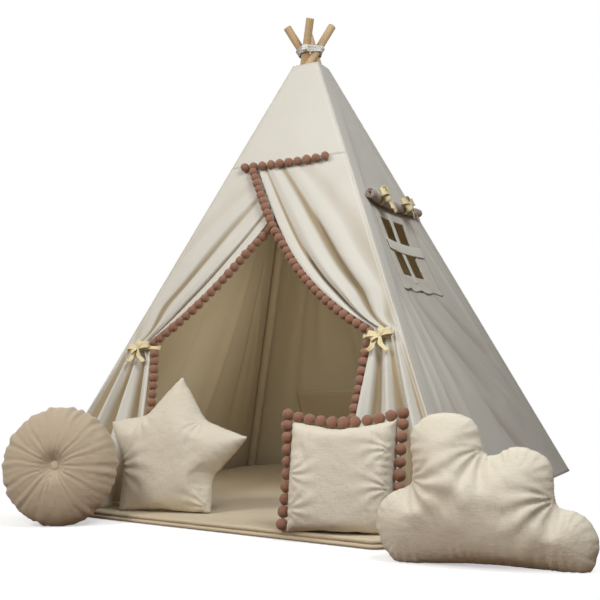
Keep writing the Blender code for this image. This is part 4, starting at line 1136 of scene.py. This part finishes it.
def lattice(outline, pitch):
    """Triangles of a flat panel in an outline: points (outline first), faces, and which are on the rim."""
    ring = np.array(outline)
    ahead = np.roll(ring, -1, axis=0)
    inner = []
    row = 0
    (x_start, y), (x_end, y_end) = ring.min(axis=0), ring.max(axis=0)
    while y < y_end:
        x = x_start + (pitch / 2 if row % 2 else 0)
        above = (ring[:, 1] > y) != (ahead[:, 1] > y)
        here, there = ring[above], ahead[above]
        cut = here[:, 0] + (y - here[:, 1]) / (there[:, 1] - here[:, 1]) * (there[:, 0] - here[:, 0])
        while x < x_end:
            if (cut > x).sum() % 2 and np.hypot(ring[:, 0] - x, ring[:, 1] - y).min() > 0.62 * pitch:
                inner.append(Vector((x, y)))
            x += pitch
        y += pitch * math.sqrt(3) / 2
        row += 1
    rim = [(n, (n + 1) % len(outline)) for n in range(len(outline))]
    found = geometry.delaunay_2d_cdt([Vector(p) for p in outline] + inner, rim, [], 1, 1e-6)
    return found[0], found[2], np.array([any(n < len(outline) for n in sources) for sources in found[3]])


def even_outline(outline, pitch):
    closed = [Vector((*p, 0)) for p in (*outline, outline[0])]
    return [(p.x, p.y) for p in evenly(closed, pitch)[:-1]]


def rounded(corners, cuts):
    """Corner cutting of a closed outline."""
    ring = [Vector(c) for c in corners]
    for _ in range(cuts):
        ring = [q for a, b in zip(ring, ring[1:] + ring[:1]) for q in (a.lerp(b, 0.25), a.lerp(b, 0.75))]
    return [(p.x, p.y) for p in ring]


def stuffed_mesh(name, outline, half, full_at, pitch=0.0078):
    """A cushion of two sewn panels, lying in the X-Z plane: its object, and the outline's vertex numbers."""
    points, faces, on_rim = lattice(even_outline(outline, pitch * 0.9), pitch)
    room = distances(np.array(points), np.array(even_outline(outline, pitch * 0.45))).min(1)
    room[on_rim] = 0.0
    puff = half * np.sqrt(1 - (1 - clamp(room / full_at)) ** 2)
    verts = [(p.x, -d, p.y) for p, d in zip(points, puff)]
    index = list(range(len(points)))
    for k in np.flatnonzero(~on_rim):
        index[k] = len(verts)
        verts.append((points[k].x, puff[k], points[k].y))
    mesh = bpy.data.meshes.new(name)
    back = [tuple(index[n] for n in reversed(f)) for f in faces]
    mesh.from_pydata(verts, [], [tuple(f) for f in faces] + back)
    even_normals(mesh)
    return placed(name, mesh), np.flatnonzero(on_rim)


ROUND_R = 0.149
PILLOW_HALF = 0.122
BUTTON_RADIUS = 0.0115
SEAM_STEP = 0.004
SINK = 0.005
STAR_CORNERS = ((0.0103, 0.3587), (-0.0866, 0.2551), (-0.2043, 0.2411), (-0.1444, 0.1255), (-0.1522, 0.0052),
                (-0.0104, 0.0166), (0.1255, 0.0102), (0.1235, 0.0999), (0.2185, 0.1980), (0.0881, 0.2391))
CLOUD_OUTLINE = (
    (-0.161, 0.1386), (-0.1698, 0.2245), (-0.1523, 0.2469), (-0.1318, 0.2616), (-0.1035, 0.2664),
    (-0.0742, 0.2645), (-0.0488, 0.2547), (-0.0351, 0.2381), (-0.0303, 0.2089), (-0.0224, 0.1874),
    (-0.0029, 0.1884), (0.0156, 0.1981), (0.0371, 0.202), (0.0586, 0.1991), (0.0839, 0.1864),
    (0.0966, 0.1698), (0.1005, 0.1396), (0.1005, 0.1064), (0.1103, 0.0966), (0.1298, 0.0947),
    (0.1523, 0.0839), (0.1659, 0.0664), (0.1728, 0.042), (0.1679, 0.0127), (0.1562, -0.0117),
    (0.1415, -0.0156), (0.0947, -0.0127), (0.0312, -0.0059), (-0.0215, -0.0068), (-0.0927, -0.0098),
    (-0.1601, -0.0127), (-0.1952, -0.0137), (-0.2157, 0.0078), (-0.2303, 0.0342), (-0.2372, 0.0615),
    (-0.2313, 0.0888), (-0.2108, 0.1152), (-0.1845, 0.1269),
)


def star_outline():
    """Pointed tips, gently hollow sides and rounded notches."""
    ring = []
    corners = [Vector(c) for c in STAR_CORNERS]
    for n, here in enumerate(corners):
        before, after = corners[n - 1], corners[(n + 1) % len(corners)]
        if n % 2:
            notch = here.lerp(before, 0.08) * 0.5 + here.lerp(after, 0.08) * 0.5
            ring += [here.lerp(before, 0.22), notch, here.lerp(after, 0.22)]
        else:
            ring += [here.lerp(before, 0.10), here, here.lerp(after, 0.10)]
    return rounded(ring, 1)


def pillow_point(turn, aside=0.0):
    """A place on the pillow's seam, which is drawn in between its corners, or aside from it."""
    x, z = math.cos(turn), math.sin(turn)
    along = min(abs(x), abs(z)) / max(abs(x), abs(z))
    drawn = 0.020 if z > abs(x) else 0.008
    reach = (PILLOW_HALF + aside - drawn * (1 - along**2)) / max(abs(x), abs(z))
    return reach * x, reach * z


# Each cushion: outline, half its thickness, how far from the seam it is full, place (x, y, turn and lean
# in degrees), the floor under it, cloth, slot, fill, and gathers (spot, way, reach, height, count)
ROUND_OUTLINE = [(ROUND_R * math.cos(TURN * k / 180), ROUND_R * math.sin(TURN * k / 180)) for k in range(180)]
CUSHIONS = {
    "round_cushion": dict(
        outline=ROUND_OUTLINE, half=0.056, full=0.7 * ROUND_R, place=(-0.372, -0.766, 20.0, 8.0), floor=0.0,
        cloth=round_cloth, slot="round", fill=0.8, gathers=()),
    "star_cushion": dict(
        outline=star_outline(), half=0.056, full=0.111, place=(-0.145, -0.63, 0.0, 11.0), floor=MAT_TOP,
        cloth=cushion_cloth, slot="cushion", fill=0.85, gathers=(
            (-0.1444, 0.1255, 1.0, -0.12, 0.085, 0.0046, 7), (0.1235, 0.024, -0.8, 0.35, 0.055, 0.0034, 6),
            (-0.0866, 0.2551, 0.5, -0.8, 0.05, 0.0026, 5), (0.0881, 0.2391, -0.5, -0.8, 0.05, 0.0024, 5))),
    "square_pillow": dict(
        outline=[pillow_point(math.radians(2.25 * n)) for n in range(160)], half=0.054,
        full=0.85 * PILLOW_HALF, place=(0.405, -0.78, 5.0, 13.0), floor=MAT_TOP,
        cloth=cushion_cloth, slot="cushion", fill=0.85, gathers=(
            (0.115, 0.054, -1, 0, 0.06, 0.0028, 6), (0.115, -0.027, -1, 0.1, 0.06, 0.0028, 6),
            (-0.112, 0, 1, 0.1, 0.06, 0.0028, 6), (-0.112, -0.072, 1, 0.2, 0.06, 0.0028, 6))),
    "cloud_cushion": dict(
        outline=CLOUD_OUTLINE, half=0.062, full=0.111, place=(0.78, -0.95, 0.0, 8.0), floor=0.0,
        cloth=cushion_cloth, slot="cushion", fill=0.9, gathers=(
            (-0.165, 0.142, 1.0, -0.35, 0.085, 0.0046, 6), (-0.027, 0.20, -0.35, -1.0, 0.085, 0.0046, 6),
            (0.103, 0.113, -0.9, -0.45, 0.080, 0.0044, 6))),
}
FILLED_CLOTH = dict(
    quality=7, mass=0.18, tension_stiffness=22, compression_stiffness=12, shear_stiffness=6,
    bending_stiffness=0.12, tension_damping=12, compression_damping=12, shear_damping=12, air_damping=6,
    use_pressure=True, uniform_pressure_force=4.5)


def inflate(made):
    """Gives a sewn cushion cloth that air fills, so that its panels swell and its seams pucker."""
    settings = made.modifiers.new("fill", "CLOTH").settings
    for key, value in FILLED_CLOTH.items():
        setattr(settings, key, value)
    settings.effector_weights.gravity = 0


def settle(made):
    """Keeps the shape that the modifiers give as the mesh, with none of them left."""
    mesh = bpy.data.meshes.new_from_object(made.evaluated_get(bpy.context.evaluated_depsgraph_get()))
    made.modifiers.clear()
    old, made.data = made.data, mesh
    bpy.data.meshes.remove(old)


def gathers(co, x, z, way_x, way_z, reach, height, count):
    """Creases that fan out from a notch."""
    way = np.array((way_x, way_z)) / np.hypot(way_x, way_z)
    dx, dz = co[:, 0] - x, co[:, 2] - z
    far = np.hypot(dx, dz)
    turn = np.arctan2(way[0] * dz - way[1] * dx, way[0] * dx + way[1] * dz)
    fan = bump_at(turn, 0, 0.9) * clamp(far / 0.012) * bump_at(far, 0, reach)
    return height * fan * np.sin(count * 2 * turn + 0.7 * np.sin(far * 60))


def shape_up(made, rim, goal, half):
    """Draws a filled cushion back to its cut outline and thickness, keeping its puckers."""
    co = coords_of(made.data)
    miss = goal - co[rim]
    miss[:, 1] = 0
    weight = 1 / (distances(co[:, (0, 2)], co[rim][:, (0, 2)]) ** 2 + 0.012**2) ** 1.5
    co = co + (weight @ miss) / weight.sum(1, keepdims=True)
    co[:, 1] *= half / np.percentile(np.abs(co[:, 1]), 99.5)
    put_coords(made.data, co)


def fill_detail(name, made, facts):
    """Subdivides once and adds the creases that the photograph shows: gathered pleats and sewn puckers."""
    made.modifiers.new("finer", "SUBSURF").levels = 1
    settle(made)
    co = coords_of(made.data)
    gaps = distances(co[:, (0, 2)], np.array(even_outline(facts["outline"], SEAM_STEP)))
    room = gaps.min(1)
    along = gaps.argmin(1) * SEAM_STEP
    pucker = bump_at(room, 0, 0.030) * clamp(room / 0.006)
    patchy = clamp(0.45 + 1.1 * wobble(co, 13.0, 3))
    seams = 0.3 if name == "star_cushion" else 1.0
    tall = np.sign(co[:, 1])
    waves = np.sin(along * TURN / 0.019 + 3.0 * np.sin(along * 37) + tall * 0.8)
    rise = 0.0016 * seams * patchy * pucker * waves
    fine = wobble(co * np.array((1.0, 1.0, 0.7)), 24.0, 6)
    rise = rise + 0.0030 * wobble(co, 9.0, 5) + 0.0014 * fine * (1 - pucker * 0.5)
    if name == "round_cushion":
        turn = np.arctan2(co[:, 2], co[:, 0])
        far = np.hypot(co[:, 0], co[:, 2]) / ROUND_R
        wander = 0.6 * wobble(np.stack([np.cos(turn), np.sin(turn), far], -1), 2.3, 9)
        pleats = 0.7 * np.sin(23 * turn + 4 * wander + tall) + 0.6 * np.sin(37 * turn + 5 * wander)
        where = 0.25 + 0.6 * bump_at(far, 0, 0.42) + 0.8 * clamp((far - 0.72) / 0.28)
        rise = rise * 0.6 + 0.0032 * pleats * clamp(far * 5) * where * clamp(0.6 + wobble(co, 16.0, 12))
        co[:, 1] *= 1 - 0.44 * bump_at(far, 0, 0.19)
    for fan in facts["gathers"]:
        rise = rise + gathers(co, *fan)
    put_coords(made.data, co + coords_of(made.data, "normal") * rise[:, None])


def stand(facts, *pieces):
    """Turns and leans pieces and sets them down a little deep in what they rest on, flattened there."""
    x, y, turn, lean = facts["place"]
    turned = Matrix.Rotation(math.radians(turn), 4, "Z") @ Matrix.Rotation(math.radians(-lean), 4, "X")
    for made in pieces:
        made.data.transform(turned)
    low = min(coords_of(made.data)[:, 2].min() for made in pieces)
    floor = facts["floor"] + SEAM_GAP
    for made in pieces:
        made.data.transform(Matrix.Translation((x, y, floor - low - SINK)))
        co = coords_of(made.data)
        co[:, 2] = np.maximum(co[:, 2], floor)
        put_coords(made.data, co)


def button(name, node, way, sides=28):
    """A covered button: a domed disc of cloth over a rim, sunk in the tuft."""
    co = coords_of(cushions["round_cushion"][0].data)
    near = co[np.hypot(co[:, 0], co[:, 2]) < 0.012]
    seat = np.abs(near[near[:, 1] * way > 0][:, 1]).mean() - 0.0005
    rings = ((0.72, 0.0), (0.94, 0.0006), (1.0, 0.0015), (0.97, 0.0025), (0.8, 0.0034), (0.5, 0.004),
             (0.2, 0.0043))
    points = []
    for share, rise in rings:
        for turn in (TURN * n / sides for n in range(sides)):
            size = BUTTON_RADIUS * share
            points.append((size * math.cos(turn), way * (seat + rise), size * math.sin(turn)))
    return piece(name, "round_cushion", node, points, skin(len(rings), sides), [button_cloth])


cushions = {}
for name, facts in CUSHIONS.items():
    outline = rounded(facts["outline"], 2) if name == "cloud_cushion" else facts["outline"]
    start = facts["half"] * 0.55
    cushions[name] = stuffed_mesh(name + "_stuffed", outline, start, facts["full"])
goals = {name: coords_of(made.data)[rim] for name, (made, rim) in cushions.items()}
for made, _ in cushions.values():
    inflate(made)
for step in range(1, 26):
    bpy.context.scene.frame_set(step)
for made, _ in cushions.values():
    settle(made)
bpy.context.scene.frame_set(1)
for name, (made, rim) in cushions.items():
    shape_up(made, rim, goals[name], CUSHIONS[name]["half"])
for name, (made, _) in cushions.items():
    fill_detail(name, made, CUSHIONS[name])
    made.data.materials.append(CUSHIONS[name]["cloth"])
    made.data.shade_smooth()
trim_path = [pillow_point(math.radians(-38 + 256 * t), POMPOM_RADIUS + 0.0004) for t in shares(240)]
trim = {
    "round_cushion": [button("round_button_front", "round_cushion_front_button", -1),
                      button("round_button_back", "round_cushion_back_button", 1)],
    "square_pillow": [ball_string("square_pillow_balls", "square_pillow", "square_pillow_pompoms",
                                  evenly([Vector((x, 0, z)) for x, z in trim_path], 0.0262), 77)],
}
for name, (made, _) in cushions.items():
    stand(CUSHIONS[name], made, *trim.get(name, ()))
    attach(made, name)
    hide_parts(name)


# Camera, floor and light

YAW, PITCH, ROLL, FOCAL = math.radians(-26.29), math.radians(4.78), math.radians(-1.86), 931.2
ahead = Vector((math.sin(YAW) * math.cos(PITCH), math.cos(YAW) * math.cos(PITCH), math.sin(PITCH)))
level = Vector((math.cos(YAW), -math.sin(YAW), 0))
upright = level.cross(ahead)
right = level * math.cos(ROLL) + upright * math.sin(ROLL)
up = upright * math.cos(ROLL) - level * math.sin(ROLL)
lens = bpy.data.cameras.new("camera")
lens.sensor_width = 36.0
lens.lens = FOCAL / 600 * 36.0
lens.clip_end = 50
camera = placed("camera", lens)
turned = Matrix((right, up, -ahead)).transposed()
camera.matrix_world = Matrix.Translation((1.221, -2.604, 0.344)) @ turned.to_4x4()
bpy.context.scene.camera = camera


def cleared(owner):
    """An empty node tree of a material or the world, and 1 for rays that see it, also in a reflection."""
    owner.use_nodes = True
    tree = owner.node_tree
    tree.nodes.clear()
    rays = put(tree, "LightPath").outputs
    seen = [Flow(tree, rays[f"Is {kind} Ray"]) for kind in ("Camera", "Glossy", "Transmission")]
    return tree, reduce(lambda a, b: a.maths("MAXIMUM", b), seen)


floor_mesh = bpy.data.meshes.new("floor")
floor_mesh.from_pydata([(-14, -14, -0.0006), (14, -14, -0.0006), (14, 14, -0.0006), (-14, 14, -0.0006)], [],
                       [(0, 1, 2, 3)])
floor_paint = bpy.data.materials.new("floor_paint")
tree, seen = cleared(floor_paint)
shaded = flow(tree, "BsdfDiffuse", {"Color": (0.72, 0.72, 0.72)})
glow = flow(tree, "Emission", {"Color": (1, 1, 1), "Strength": 0.47})
near = flow(tree, "AddShader", {0: shaded, 1: glow})
white = flow(tree, "Emission", {"Color": (1, 1, 1), "Strength": 1.0})
spot = flow(tree, "TexCoord", output="Object")
away = flow(tree, "VectorMath", {0: spot, 1: (0.1, -0.75, 0)}, "Value", operation="DISTANCE")
fade = flow(tree, "MapRange", {"Value": away, "From Min": 0.62, "From Max": 0.98},
            interpolation_type="SMOOTHSTEP")
pale = flow(tree, "MixShader", {0: fade, 1: near, 2: white})
bounce = flow(tree, "BsdfDiffuse", {"Color": (0.16, 0.085, 0.035)})
put(tree, "OutputMaterial", {"Surface": flow(tree, "MixShader", {0: seen, 1: bounce, 2: pale})})
floor_mesh.materials.append(floor_paint)
placed("floor", floor_mesh)

world = bpy.data.worlds.new("world")
bpy.context.scene.world = world
tree, seen = cleared(world)
white = flow(tree, "Background", {"Color": (1, 1, 1), "Strength": 1.0})
soft_sky = flow(tree, "Background", {"Color": (1.0, 0.97, 0.92), "Strength": 0.18})
put(tree, "OutputWorld", {"Surface": flow(tree, "MixShader", {0: seen, 1: soft_sky, 2: white})})

# Area lights: where they are, what they are aimed at, their side, power and colour
for name, place, aim, size, power, colour in (
    ("key", (-2.0, -3.5, 3.2), (0.0, -0.3, 0.2), 1.8, 97, (1.0, 0.98, 0.94)),
    ("door_side", (0.9, -3.4, 1.9), (-0.1, 0.0, 0.3), 1.2, 21, (1.0, 0.985, 0.96)),
    ("window_side", (1.25, -1.2, 1.9), (0.39, -0.05, 0.69), 0.7, 22, (0.92, 0.965, 1.0)),
    ("behind", (-1.6, 3.4, 2.6), (0.0, 0.2, 0.5), 1.6, 42, (1.0, 0.99, 0.97)),
    ("inside", (0.07, -0.10, 0.40), (-0.50, -0.06, 0.48), 0.16, 0.76, (1.0, 0.94, 0.82)),
):
    lamp = bpy.data.lights.new(name, "AREA")
    lamp.shape = "SQUARE"
    lamp.size = size
    lamp.energy = power
    lamp.color = colour
    made = placed(name, lamp)
    made.location = place
    made.rotation_mode = "QUATERNION"
    made.rotation_quaternion = (Vector(aim) - Vector(place)).to_track_quat("-Z", "Y")

bpy.context.scene.view_settings.view_transform = "Standard"
